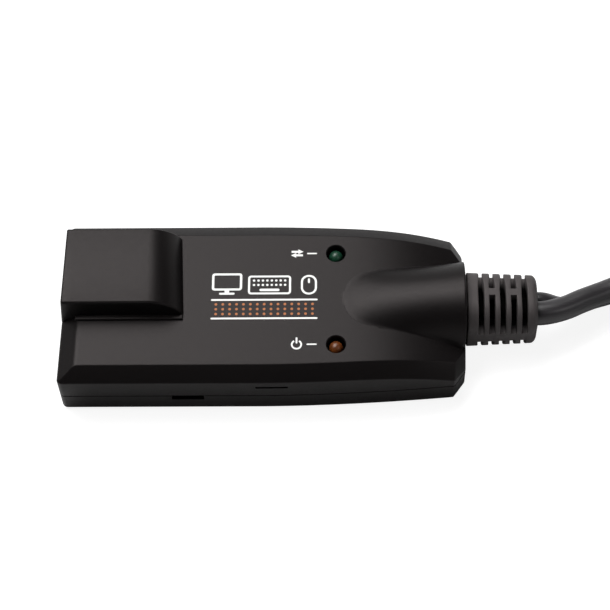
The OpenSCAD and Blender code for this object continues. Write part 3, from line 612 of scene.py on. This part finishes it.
def hump_height(x, y, deck, inset=0.0):
    """Height of the hump's surface at x, y: an arc over its width, with a small fillet at the deck."""
    w, h = hump_size(x, inset)
    if w < 0.3 or h < 0.02:
        return deck
    h = min(h, w * 0.98)
    r = (w * w + h * h) / (2 * h)
    rise = h - r + math.sqrt(max(r * r - y * y, 0)) if abs(y) < w + 0.6 else -9.0
    k = 0.28 if inset == 0 else 0.01
    blend = max(k - abs(rise), 0) / k
    return deck + max(rise, 0.0) + k * blend * blend / 4


CORNER_W, CORNER_L = 3.3, 2.5


def corner_in(d):
    """How far the sides have drawn in at a distance d from the cord end: nearly a chamfer."""
    return CORNER_W * max(1 - d / CORNER_L, 0) ** 1.05


def eased_end(x, r, far_end):
    """How far an edge of radius r has drawn in at x from the end."""
    d = (BOX_L - x) if far_end else x
    if d >= r:
        return 0.0
    d = max(d, 0.0)
    return r - math.sqrt(max(r * r - (r - d) ** 2, 0.0))


def fillet(points, radii, steps=4):
    """A polyline with its inner corners rounded; each corner always gives the same number of points."""
    out = [points[0]]
    for i in range(1, len(points) - 1):
        a, b, c = (np.array(points[j], float) for j in (i - 1, i, i + 1))
        u, v = a - b, c - b
        lu, lv = np.linalg.norm(u), np.linalg.norm(v)
        if lu < 1e-6 or lv < 1e-6:
            out += [tuple(b)] * (steps + 1)
            continue
        u, v = u / lu, v / lv
        half = math.acos(max(-1, min(1, float(u @ v)))) / 2
        back = min(radii[i - 1] / math.tan(half), lu * 0.45, lv * 0.45) if half > 0.02 else 0
        p, q = b + u * back, b + v * back
        for k in range(steps + 1):
            t = k / steps
            w = (1 - t) ** 2 * p + 2 * t * (1 - t) * b + t * t * q
            out.append(tuple(w))
    out.append(points[-1])
    return out


EDGE_R, CORNER_R = 0.4, 1.2


def skewed(x, y):
    """The box's ends as the photograph shows them: the jack end a little askew, the cord end a little in."""
    lean = 0.017 * (15.5 - y) * max(1 - x / 30, 0)
    late = min(max((x - 62) / 26, 0), 1)
    return X0 + x - lean - 0.45 * late * late * (3 - 2 * late)


def section(x, inset=0.0, bottom=SEAM):
    """Points of the upper shell's section at x, from the near seam edge over the top to the far one."""
    sloped = (DECK - BEVEL_DROP) + max(x, 0) * BEVEL_DROP / END_BEVEL
    deck = min(DECK - float(fall(x)), sloped) - inset
    if abs(x - END_BEVEL) < 0.8:            # soft ridge between the end bevel and the deck
        deck -= 0.09 * (1 - abs(x - END_BEVEL) / 0.8) ** 2
    low_bevel = DECK - BEVEL_DROP - float(fall(x)) - inset * 0.55
    width = float(half_width(x)) - inset
    width -= eased_end(x, CORNER_R, False) + corner_in(BOX_L - x)
    drawn = eased_end(x, EDGE_R, False) + eased_end(x, EDGE_R, True)
    deck -= drawn
    low_bevel = min(low_bevel - drawn, deck - 0.02)
    shelf = min((deck - low_bevel) / BEVEL_DROP * BEVEL_W, width * 0.9)
    groove = 0.22 if inset == 0 else 0.0
    side = fillet([(-width + groove, bottom), (-width, bottom + groove), (-width, low_bevel),
                   (-width + shelf, deck), (-width + shelf + 3, deck)], [0.02, EDGE_R, 0.55])[:-1]
    edge = min(max(hump_size(x, inset)[0], 1.0) + 0.3, width - shelf - 1.2)
    start = side[-1][0]
    middle = [(start + (-edge - start) * i / 16, deck) for i in range(1, 17)]
    for k in range(1, 45):
        y = -edge * math.cos(math.pi * k / 45)
        middle.append((y, hump_height(x, y, deck, inset)))
    middle += [(-y, z) for y, z in reversed([(start + (-edge - start) * i / 16, deck) for i in range(1, 17)])]
    other = [(-y, z) for y, z in reversed(side)]
    return [(skewed(x, y), y, z) for y, z in side + middle + other]


def stations(inset=0.0):
    """Where the upper shell's sections lie, closer together where its shape changes fast."""
    a = [CORNER_R * (1 - math.cos(math.radians(t))) for t in range(0, 91, 9)]
    a += [EDGE_R * (1 - math.cos(math.radians(t))) for t in (25, 50, 72)]
    b = [BOX_L - 2.8 * t / 14 for t in range(15)]
    b += [BOX_L - EDGE_R * (1 - math.cos(math.radians(t))) for t in (25, 50, 72)]
    middle = list(np.arange(1.4, 5.2, 0.2)) + list(np.arange(5.4, 42, 1.2)) + list(np.arange(42.4, 57, 0.6))
    middle += list(np.arange(57, 85.1, 0.4))
    xs = sorted(set(round(float(v), 4) for v in a + b + middle if inset <= v <= BOX_L - inset))
    return [x for i, x in enumerate(xs) if i == 0 or x - xs[i - 1] > 0.015]


def body_form(inset, bottom, name):
    """The upper shell's outer form, or with an inset the room inside it."""
    xs = stations(inset)
    if inset:
        xs = [inset] + xs + [BOX_L - inset]
    return new_piece(name, *skin_rows([section(x, inset, bottom) for x in xs]))


BLOCK_L, BLOCK_W, BLOCK_H, DRAFT, BLOCK_Y, SHOULDER = 26.1, 20.0, 19.6, 0.7, 5.5, 7.5


def jack_block(inset, bottom, name):
    """The raised block: its side profile carried across, with drafted sides and rounded edges."""
    r = 0.45 if inset == 0 else 0.05
    x_in = -0.02 + inset
    prof = [(x_in, bottom), (x_in, DECK - BEVEL_DROP)]
    for t in np.linspace(0, 1, 7)[1:]:
        prof.append((x_in + DRAFT * t * 0.8,
                     DECK - BEVEL_DROP + (BLOCK_H - inset - DECK + BEVEL_DROP - r) * t))
    for a in np.linspace(180, 90, 7)[1:]:
        prof.append((x_in + DRAFT * 0.8 + r + r * math.cos(math.radians(a)),
                     BLOCK_H - inset - r + r * math.sin(math.radians(a))))
    for x in np.linspace(x_in + DRAFT + r, BLOCK_L - SHOULDER, 12)[1:]:
        prof.append((float(x), BLOCK_H - inset))
    for a in np.linspace(90, 0, 25)[1:]:
        prof.append((BLOCK_L - SHOULDER + (SHOULDER - inset) * math.cos(math.radians(a)),
                     BLOCK_H - SHOULDER + (SHOULDER - inset) * math.sin(math.radians(a))))
    prof.append((BLOCK_L - inset, bottom))
    p = np.array(prof)
    ahead = np.gradient(p, axis=0)
    out = np.stack([-ahead[:, 1], ahead[:, 0]], 1)
    out /= np.linalg.norm(out, axis=1)[:, None]
    rows = []
    share = np.clip((p[:, 1] - (DECK - BEVEL_DROP)) / (BLOCK_H - DECK + BEVEL_DROP), 0, 1)
    half = BLOCK_W / 2 - inset - DRAFT * share
    turns = [90, 67.5, 45, 22.5, 0]
    for side in (-1, 1):
        for a in (turns if side < 0 else turns[::-1]):
            s, c = math.sin(math.radians(a)), math.cos(math.radians(a))
            q = p - out * (r - r * c)
            row = []
            for (x, z), h in zip(q, half):
                y = BLOCK_Y + side * (h - r + r * s)
                row.append((skewed(x, y) + ((15.5 - y) * 0.052 - 0.3) * (x / BLOCK_L) ** 2, y, z))
            rows.append(row)
    return new_piece(name, *skin_rows(rows))


LIGHT_X, LIGHT_Y, LIGHT_HOLE = X0 + 0.676 * BOX_L, 11.3, 4.1
BOARD_TOP = WALL + 1.6 + 1.6
JACK_W = BLOCK_W - 2 * (DRAFT + WALL + 0.1)
JACK_TOP = BLOCK_H - WALL - 0.3
SNAP_X, SNAP_W = [X0 + BOX_L * 0.31, X0 + BOX_L * 0.518], 7.0
BOSS = [(X0 + 0.795 * BOX_L, s * 12.6) for s in (-1, 1)]


def jack_window():
    return block_shape((X0 - 2, BLOCK_Y - JACK_W / 2 - 0.1, BOARD_TOP - 0.1),
                       (X0 + 3.2, BLOCK_Y + JACK_W / 2 + 0.1, JACK_TOP + 0.1), 0.3)


def neck_window():
    return block_shape((BOOT_X0 - 3.2, -5.7, AXIS_Z - 5.7), (BOOT_X0 + 2, 5.7, AXIS_Z + 5.7), 0)


def make_upper_shell():
    shell = body_form(0.0, SEAM, "upper_housing")
    ledge = block_shape((X0 + 2.9, BLOCK_Y - BLOCK_W / 2 - 0.75, DECK - 1.6),
                        (X0 + BLOCK_L + 0.2, BLOCK_Y - BLOCK_W / 2 + 1.5, DECK + 0.5), 0.2)
    carve(shell, [jack_block(0.0, SEAM + 2, "block"), ledge], "UNION")
    room = body_form(WALL, SEAM - 1, "room")
    carve(room, [jack_block(WALL, SEAM - 0.9, "block_room")], "UNION")
    tools = [room, jack_window(), neck_window()]
    for s in (-1, 1):
        r = LIGHT_HOLE / 2
        tools.append(turned([(0, -4), (r, -4), (r, -0.18), (r + 0.2, 0.02), (r + 0.3, 0.6), (0, 0.6)],
                            (LIGHT_X, s * LIGHT_Y, DECK), name="light_hole"))
        tools.append(block_shape((SNAP_X[1] - SNAP_W / 2, s * BOX_W / 2 - 3.2, 9.4),
                                 (SNAP_X[1] + SNAP_W / 2, s * BOX_W / 2 + 3.2, 10.15), 0.05))
    carve(shell, tools, "DIFFERENCE")
    tidy(shell, 34)
    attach(shell, BODY)
    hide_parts("upper_shell")
    wear(shell, "housing")
    return shell


def outline(inset, z):
    """The box's outline from above at height z, drawn in by inset, as a closed row."""
    r = max(CORNER_R - inset, 0.1)
    near = [(inset + r + r * math.cos(a), inset + r - BOX_W / 2 + r * math.sin(a))
            for a in np.radians(np.linspace(180, 270, 11))]
    near += [(float(x), inset - float(half_width(x))) for x in np.linspace(8, BOX_L - 2.9, 46)]
    near += [(BOX_L - inset - d, inset + corner_in(d) - float(half_width(BOX_L - d)))
             for d in np.linspace(2.8, 0, 15)]
    row = near + [(x, -y) for x, y in reversed(near)]
    return [(skewed(x, y), y, z) for x, y in row]


def make_lower_shell():
    r = 0.95
    rows = [outline(r - r * math.sin(math.radians(a)), r - r * math.cos(math.radians(a)))
            for a in range(0, 91, 15)]
    rows += [outline(0, z) for z in (2, 3, 4, 5, SEAM - 0.16)]
    rows += [outline(0.16, SEAM), outline(WALL, SEAM), outline(WALL, WALL + 0.5), outline(WALL + 0.5, WALL)]
    shell = new_piece("lower_housing", *skin_rows(rows))
    bosses = [turned([(0, 0.5), (2.9, 0.5), (2.9, 3.0), (0, 3.0)], (x, y, 0), name="boss") for x, y in BOSS]
    carve(shell, bosses, "UNION")
    tools = [jack_window(), neck_window()]
    for x, y in BOSS:
        tools.append(turned([(0, -1), (2.45, -1), (2.45, 0.05), (2.2, 0.3), (2.2, 1.81), (1.2, 1.82),
                             (1.2, 4), (0, 4)], (x, y, 0), name="screw_hole"))
    for s in (-1, 1):
        tools.append(block_shape((SNAP_X[0] - SNAP_W / 2, s * 18.7 - 1.6, SEAM - 1.7),
                                 (SNAP_X[0] + SNAP_W / 2, s * 18.7 + 1.6, SEAM + 0.5), 0.1))
    carve(shell, tools, "DIFFERENCE")
    tidy(shell, 34)
    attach(shell, BODY)
    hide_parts("lower_shell")
    wear(shell, "housing")
    return shell


# Bend relief

SLOTS, SLOT_1, SLOT_PITCH, SLOT_W, CORE_W = 5, 2.4, 2.42, 1.3, 5.4
BOOT_SHARE = 0.972                  # the boot's length as photographed over the source's
RAIL_H, BRIDGE_W = 1.75, 1.0        # half the height of the side rails and half the width of the bridges
BRIDGE_Y = 0.45                     # how far the bridges lie off the middle
TAIL_L, NECK_R, RIB_R = 1.3, 0.25, 0.2


def squircle(w, r, a):
    """Distance from the middle to a rounded square's edge at angle a."""
    c, s = abs(math.cos(a)), abs(math.sin(a))
    if c < s:
        c, s = s, c
    flat = w / 2
    if flat * s / c <= flat - r:
        return flat / c
    k = flat - r
    b = -2 * k * (c + s)
    d = b * b - 4 * (2 * k * k - r * r)
    return (-b + math.sqrt(max(d, 0))) / 2


def soft_step(v):
    """0 below and 1 above zero, with a short ramp between."""
    return max(0.0, min(1.0, v / 0.16 + 0.5))


def make_boot():
    """The slotted bend relief as one skin: ribs and slots along it, with side rails and two bridged slots."""
    sides = 168
    angles = [2 * math.pi * k / sides for k in range(sides)]
    xs = {0.0, 0.05, 0.12, 0.25}
    for i in range(SLOTS):
        a = SLOT_1 + i * SLOT_PITCH
        for d in (-0.22, -0.14, -0.07, -0.02, 0.03):
            xs |= {a + d, a + SLOT_W - d}
        xs |= {a + SLOT_W * 0.35, a + SLOT_W * 0.65}
    for t in range(0, 91, 9):
        xs.add(BOOT_L - TAIL_L + TAIL_L * math.sin(math.radians(t)))
    xs |= {float(v) for v in np.arange(0.5, SLOT_1 - 0.4, 0.4)}
    rows = []
    for x in sorted(xs):
        w = BOOT_W + (BOOT_END - BOOT_W) * x / BOOT_L
        tail_in = 0.0
        if x > BOOT_L - TAIL_L:
            t = (x - (BOOT_L - TAIL_L)) / TAIL_L
            tail_in = 1.7 * (1 - math.sqrt(max(1 - t * t, 0)))
        elif x < NECK_R:
            tail_in = NECK_R - math.sqrt(max(NECK_R ** 2 - (NECK_R - x) ** 2, 0))
        gap, number = 9.0, 0
        for i in range(SLOTS):
            a = SLOT_1 + i * SLOT_PITCH
            mid = abs(x - (a + SLOT_W / 2)) - SLOT_W / 2     # below 0 in the slot, above 0 on a rib
            if mid < gap:
                gap, number = mid, i
        ring = []
        for a in angles:
            y, z = math.cos(a), math.sin(a)
            r_out = squircle(w, w * 0.356, a) - tail_in
            py, pz = y * r_out, z * r_out
            solid = soft_step(RAIL_H - abs(pz)) if abs(py) > abs(pz) else 0.0
            if number % 2 == 1 and abs(pz) > abs(py):
                solid = soft_step(BRIDGE_W - abs(py - math.copysign(BRIDGE_Y, pz)))
            r_in = squircle(CORE_W, CORE_W * 0.3, a)
            if gap < 0:
                depth = min(1.0, -gap / 0.03)
                r = r_out + (r_in - r_out) * depth * (1 - solid)
            else:
                r = r_out
            if 0 <= gap < RIB_R:                 # soft shoulders of the ribs
                r -= (1 - solid) * (RIB_R - math.sqrt(max(RIB_R ** 2 - (RIB_R - gap) ** 2, 0)))
            # slots a little narrower over two of the boot's corners
            u = x - (SLOT_1 + number * SLOT_PITCH + SLOT_W / 2)
            rib = (SLOT_PITCH - SLOT_W) / 2
            flank = abs(u) * 2 / SLOT_W if gap < 0 else max(0, 1 - gap / rib)
            shift = -math.copysign(0.3 * max(2 * y * z, 0) ** 3 * flank, u)
            ring.append((BOOT_X0 + (x + shift) * BOOT_SHARE, y * r, AXIS_Z + z * r))
        rows.append(ring)
    back = [(BOOT_X0 - 1.7, 11.2 / 2), (BOOT_X0 - 1.7, 13.4 / 2), (BOOT_X0 - 3.2, 13.4 / 2)]
    neck = [(BOOT_X0, 5.6)] + back
    for x, half in neck:
        rows.insert(0, [(x, math.cos(a) * squircle(2 * half, half * 0.7, a),
                         AXIS_Z + math.sin(a) * squircle(2 * half, half * 0.7, a)) for a in angles])
    boot = new_piece("bend_relief_boot", *skin_rows(rows), angle=50)
    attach(boot, BODY)
    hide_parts("bend_relief")
    wear(boot, "boot_rubber")
    return boot


# Lamps

def make_lamp(side, name, slot, node):
    """A 3 mm lamp with a collar and two legs, with its dome just under the deck."""
    r, top = 1.55, DECK - 0.4
    profile = [(0, top - 4.65), (1.8, top - 4.65), (1.8, top - 3.8), (r, top - 3.75), (r, top - r)]
    profile += [(r * math.cos(a), top - r + r * math.sin(a)) for a in map(math.radians, range(8, 90, 8))]
    profile += [(0, top)]
    lamp = turned(profile, (LIGHT_X, side * LIGHT_Y, 0), name=name)
    for dx in (-1, 1):
        leg = block_shape((LIGHT_X + dx * 1.26 - 0.24, side * LIGHT_Y - 0.24, BOARD_TOP),
                          (LIGHT_X + dx * 1.26 + 0.24, side * LIGHT_Y + 0.24, top - 4.6), 0.04)
        carve(lamp, [leg], "UNION")
    tidy(lamp)
    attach(lamp, BODY)
    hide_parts(node)
    wear(lamp, slot)
    return lamp


make_upper_shell()
make_lower_shell()
make_boot()
make_lamp(1, "green_lamp_lens", "green_lens", "green_lamp")
make_lamp(-1, "amber_lamp_lens", "amber_lens", "amber_lamp")


# Printed marks

def ink(name, colour):
    mat, tree, skin, place = shader(name)
    wear_fac = noise(tree, place, 2500, 2)
    tree.links.new(two_tones(tree, wear_fac, [c * 0.9 for c in colour], colour), skin.inputs["Base Color"])
    skin.inputs["Roughness"].default_value = 0.55
    skin.inputs["Specular IOR Level"].default_value = 0.3
    return mat


def pill(cx, cy, w, h, r=None, steps=6):
    """Outline of a rounded bar."""
    r = min(w, h) / 2 if r is None else r
    row = []
    for sx, sy, a0 in ((1, 1, 0), (-1, 1, 90), (-1, -1, 180), (1, -1, 270)):
        for k in range(steps + 1):
            a = math.radians(a0 + 90 * k / steps)
            row.append((cx + sx * (w / 2 - r) + r * math.cos(a), cy + sy * (h / 2 - r) + r * math.sin(a)))
    return row


class Print:
    """Flat ink shapes on the deck, kept as one thin mesh."""
    z0, z1 = DECK - 0.01, DECK + 0.012

    def __init__(self):
        self.verts, self.faces = [], []

    def fill(self, row):
        n, at = len(row), len(self.verts)
        self.verts += [(x, y, self.z0) for x, y in row] + [(x, y, self.z1) for x, y in row]
        self.faces.append(tuple(range(at, at + n))[::-1])
        self.faces.append(tuple(range(at + n, at + 2 * n)))
        self.faces += [(at + k, at + (k + 1) % n, at + n + (k + 1) % n, at + n + k) for k in range(n)]

    def frame_of(self, outer, inner, closed=True):
        n, at = len(outer), len(self.verts)
        for z in (self.z0, self.z1):
            self.verts += [(x, y, z) for x, y in outer] + [(x, y, z) for x, y in inner]
        o0, i0, o1, i1 = at, at + n, at + 2 * n, at + 3 * n
        for k in range(n if closed else n - 1):
            j = (k + 1) % n
            self.faces += [(o1 + k, o1 + j, i1 + j, i1 + k), (o0 + j, o0 + k, i0 + k, i0 + j),
                           (o0 + k, o0 + j, o1 + j, o1 + k), (i0 + j, i0 + k, i1 + k, i1 + j)]
        if not closed:
            for k in (0, n - 1):
                self.faces.append((o0 + k, i0 + k, i1 + k, o1 + k))

    def piece(self, name, mat):
        obj = new_piece(name, self.verts, self.faces)
        obj.data.materials.append(mat)
        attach(obj, BODY)
        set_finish(obj, "white_plastic")
        return obj


def at(x):
    return X0 + x


def make_white_print():
    """Plain pictures of a screen, a keyboard and a mouse, and small marks beside the lamps."""
    p = Print()
    p.frame_of(pill(at(35.7), 4.2, 6.6, 4.3, 0.6), pill(at(35.7), 4.2, 5.6, 3.3, 0.25))
    p.fill(pill(at(35.7), 1.75, 1.0, 0.62, 0.05))
    p.fill(pill(at(35.7), 1.25, 3.4, 0.5))
    p.frame_of(pill(at(45.0), 3.4, 9.4, 4.7, 0.7), pill(at(45.0), 3.4, 8.5, 3.8, 0.3))
    p.fill(pill(at(45.0), 2.15, 4.4, 0.6))
    p.frame_of(pill(at(53.6), 3.4, 3.5, 4.9, 1.7), pill(at(53.6), 3.4, 2.6, 4.0, 1.28))
    p.fill(pill(at(53.6), 4.4, 0.45, 1.2))
    for y, w in ((-0.3, 23.2), (-4.9, 23.2)):
        p.fill(pill(at(43.9), y, w, 0.42))
    for s in (-1, 1):
        p.fill(pill(at(54.25), s * LIGHT_Y, 2.2, 0.34))
    arrow = [(-1.25, 0.2), (0.25, 0.2), (0.25, -0.15), (1.35, 0.45), (0.25, 1.05), (0.25, 0.7), (-1.25, 0.7)]
    for s in (-1, 1):
        p.fill([(at(51.0) + s * x, LIGHT_Y + s * y) for x, y in arrow])
    turns = [math.radians(a) for a in np.linspace(122, 418, 30)]
    outer, inner = ([(at(51.0) + r * math.cos(a), 0.1 - LIGHT_Y - 0.15 + r * math.sin(a)) for a in turns]
                    for r in (1.2, 0.82))
    p.frame_of(outer, inner, False)
    p.fill(pill(at(51.0), 0.95 - LIGHT_Y, 0.38, 1.5))
    return p.piece("deck_print_white", ink("white_ink", (0.78, 0.78, 0.76)))


def grid_tree(name):
    """Rows of flat dots: count and pitch both ways, dot radius and thickness are inputs of the group."""
    tree = bpy.data.node_groups.new(name, "GeometryNodeTree")
    face = tree.interface
    for label, kind in (("Count X", "NodeSocketInt"), ("Count Y", "NodeSocketInt"),
                        ("Width", "NodeSocketFloat"), ("Height", "NodeSocketFloat"),
                        ("Radius", "NodeSocketFloat"), ("Depth", "NodeSocketFloat"),
                        ("Ink", "NodeSocketMaterial")):
        face.new_socket(label, in_out="INPUT", socket_type=kind)
    face.new_socket("Geometry", in_out="OUTPUT", socket_type="NodeSocketGeometry")
    n, link = tree.nodes, tree.links
    given, out = n.new("NodeGroupInput"), n.new("NodeGroupOutput")
    grid = n.new("GeometryNodeMeshGrid")
    dot = n.new("GeometryNodeMeshCylinder")
    dot.inputs["Vertices"].default_value = 16
    put = n.new("GeometryNodeInstanceOnPoints")
    real = n.new("GeometryNodeRealizeInstances")
    paint = n.new("GeometryNodeSetMaterial")
    for a, b in (("Width", "Size X"), ("Height", "Size Y"),
                 ("Count X", "Vertices X"), ("Count Y", "Vertices Y")):
        link.new(given.outputs[a], grid.inputs[b])
    link.new(given.outputs["Radius"], dot.inputs["Radius"])
    link.new(given.outputs["Depth"], dot.inputs["Depth"])
    link.new(grid.outputs["Mesh"], put.inputs["Points"])
    link.new(dot.outputs["Mesh"], put.inputs["Instance"])
    link.new(put.outputs["Instances"], real.inputs["Geometry"])
    link.new(real.outputs["Geometry"], paint.inputs["Geometry"])
    link.new(given.outputs["Ink"], paint.inputs["Material"])
    link.new(paint.outputs["Geometry"], out.inputs["Geometry"])
    return tree


def dot_rows(name, tree, place, counts, size, radius, mat):
    """One printed grid of dots, made a plain mesh with its middle at place."""
    obj = bpy.data.objects.new(name, bpy.data.meshes.new(name))
    scene.collection.objects.link(obj)
    mod = obj.modifiers.new("dots", "NODES")
    mod.node_group = tree
    values = {"Count X": counts[0], "Count Y": counts[1], "Width": size[0] * MM, "Height": size[1] * MM,
              "Radius": radius * MM, "Depth": 0.022 * MM, "Ink": mat}
    for item in tree.interface.items_tree:
        if item.item_type == "SOCKET" and item.in_out == "INPUT":
            mod[item.identifier] = values[item.name]
    apply_all(obj)
    for v in obj.data.vertices:
        v.co += Vector(place) * MM
    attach(obj, BODY)
    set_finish(obj, "white_plastic")
    return obj


def soften_all():
    """Rounded edges on the moulded and turned pieces that the scene doesn't rebuild."""
    for node, width in (("video_plug_hood", 0.45), ("usb_plug_hood", 0.6), ("cord_tie", 0.35),
                        ("video_plug_collar", 0.08), ("usb_plug_collar", 0.06),
                        ("video_plug_insulator", 0.15), ("usb_plug_tongue", 0.12),
                        ("case_screws", 0.12), ("jack_body", 0.12), ("jack_shield", 0.06)):
        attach(softened(node, width), BODY)
    for node in ("thumbscrew_near", "thumbscrew_far"):
        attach(softened(node, 0.12), node)


make_white_print()
dots = grid_tree("dot_rows")
dot_rows("deck_print_dots", dots, (at(43.9), -2.6, DECK), (15, 3), (21.0, 2.4), 0.3,
         ink("orange_ink", (0.36, 0.11, 0.024)))
dot_rows("deck_print_keys", dots, (at(45.0), 3.95, DECK), (8, 2), (6.8, 1.1), 0.27,
         ink("white_key_ink", (0.78, 0.78, 0.76)))
soften_all()


# Floor, backdrop and light

def make_floor():
    """A white floor that keeps the shadow; the camera sees it close to white, the object sees it as paper."""
    mesh = bpy.data.meshes.new("floor")
    mesh.from_pydata([(-3, -3, 0), (3, -3, 0), (3, 3, 0), (-3, 3, 0)], [], [(0, 1, 2, 3)])
    floor = bpy.data.objects.new("floor", mesh)
    floor.location.z = -0.0002
    scene.collection.objects.link(floor)
    mat = bpy.data.materials.new("floor_white")
    mat.use_nodes = True
    tree = mat.node_tree
    tree.nodes.clear()
    paper = tree.nodes.new("ShaderNodeBsdfDiffuse")
    paper.inputs["Color"].default_value = (0.7, 0.7, 0.7, 1)
    faint = tree.nodes.new("ShaderNodeBsdfDiffuse")
    faint.inputs["Color"].default_value = (0.28, 0.28, 0.28, 1)
    lift = tree.nodes.new("ShaderNodeEmission")
    lift.inputs["Color"].default_value = (1, 1, 1, 1)
    lift.inputs["Strength"].default_value = 0.875
    path = tree.nodes.new("ShaderNodeLightPath")
    both = tree.nodes.new("ShaderNodeAddShader")
    none = tree.nodes.new("ShaderNodeMixShader")
    out = tree.nodes.new("ShaderNodeOutputMaterial")
    tree.links.new(faint.outputs[0], both.inputs[0])
    tree.links.new(lift.outputs[0], both.inputs[1])
    tree.links.new(path.outputs["Is Camera Ray"], none.inputs[0])
    tree.links.new(paper.outputs[0], none.inputs[1])
    tree.links.new(both.outputs[0], none.inputs[2])
    tree.links.new(none.outputs[0], out.inputs[0])
    mesh.materials.append(mat)


def make_light():
    """White round the picture, two softboxes above and behind, and a weak one from the right."""
    world = bpy.data.worlds.new("studio")
    scene.world = world
    world.use_nodes = True
    tree = world.node_tree
    tree.nodes.clear()
    path = tree.nodes.new("ShaderNodeLightPath")
    seen = tree.nodes.new("ShaderNodeBackground")
    seen.inputs["Color"].default_value = (1, 1, 1, 1)
    seen.inputs["Strength"].default_value = 1
    dome = tree.nodes.new("ShaderNodeBackground")
    dome.inputs["Color"].default_value = (1, 1, 1, 1)
    dome.inputs["Strength"].default_value = 0.03
    mix = tree.nodes.new("ShaderNodeMixShader")
    out = tree.nodes.new("ShaderNodeOutputWorld")
    # gloss shows the white backdrop where it stands low round the object, clear resin shows all of it
    split = tree.nodes.new("ShaderNodeSeparateXYZ")
    tree.links.new(tree.nodes.new("ShaderNodeTexCoord").outputs["Generated"], split.inputs[0])
    low = tree.nodes.new("ShaderNodeMapRange")
    for label, value in (("From Min", 0.45), ("From Max", 0.2), ("To Min", 0.0), ("To Max", 1.0)):
        low.inputs[label].default_value = value
    tree.links.new(split.outputs["Z"], low.inputs["Value"])
    gloss = tree.nodes.new("ShaderNodeMath")
    gloss.operation = "MULTIPLY"
    tree.links.new(low.outputs["Result"], gloss.inputs[0])
    tree.links.new(path.outputs["Is Glossy Ray"], gloss.inputs[1])
    share = gloss.outputs[0]
    for ray in ("Is Camera Ray", "Is Transmission Ray"):
        larger = tree.nodes.new("ShaderNodeMath")
        larger.operation = "MAXIMUM"
        tree.links.new(share, larger.inputs[0])
        tree.links.new(path.outputs[ray], larger.inputs[1])
        share = larger.outputs[0]
    tree.links.new(share, mix.inputs[0])
    tree.links.new(dome.outputs[0], mix.inputs[1])
    tree.links.new(seen.outputs[0], mix.inputs[2])
    tree.links.new(mix.outputs[0], out.inputs[0])
    for name, place, size, power in (("back_softbox", (-0.27, 0.72, 1.12), 0.9, 20.8),
                                     ("top_softbox", (-0.55, 0.3, 1.2), 0.8, 11.5),
                                     ("side_softbox", (0.8, -0.35, 0.9), 0.3, 1.6)):
        data = bpy.data.lights.new(name, "AREA")
        data.shape = "SQUARE"
        data.size = size
        data.energy = power
        lamp = bpy.data.objects.new(name, data)
        scene.collection.objects.link(lamp)
        lamp.location = place
        lamp.rotation_mode = "QUATERNION"
        lamp.rotation_quaternion = (Vector((0, 0, 0.01)) - Vector(place)).to_track_quat("-Z", "Y")


make_floor()
make_light()
scene.view_settings.view_transform = "Standard"
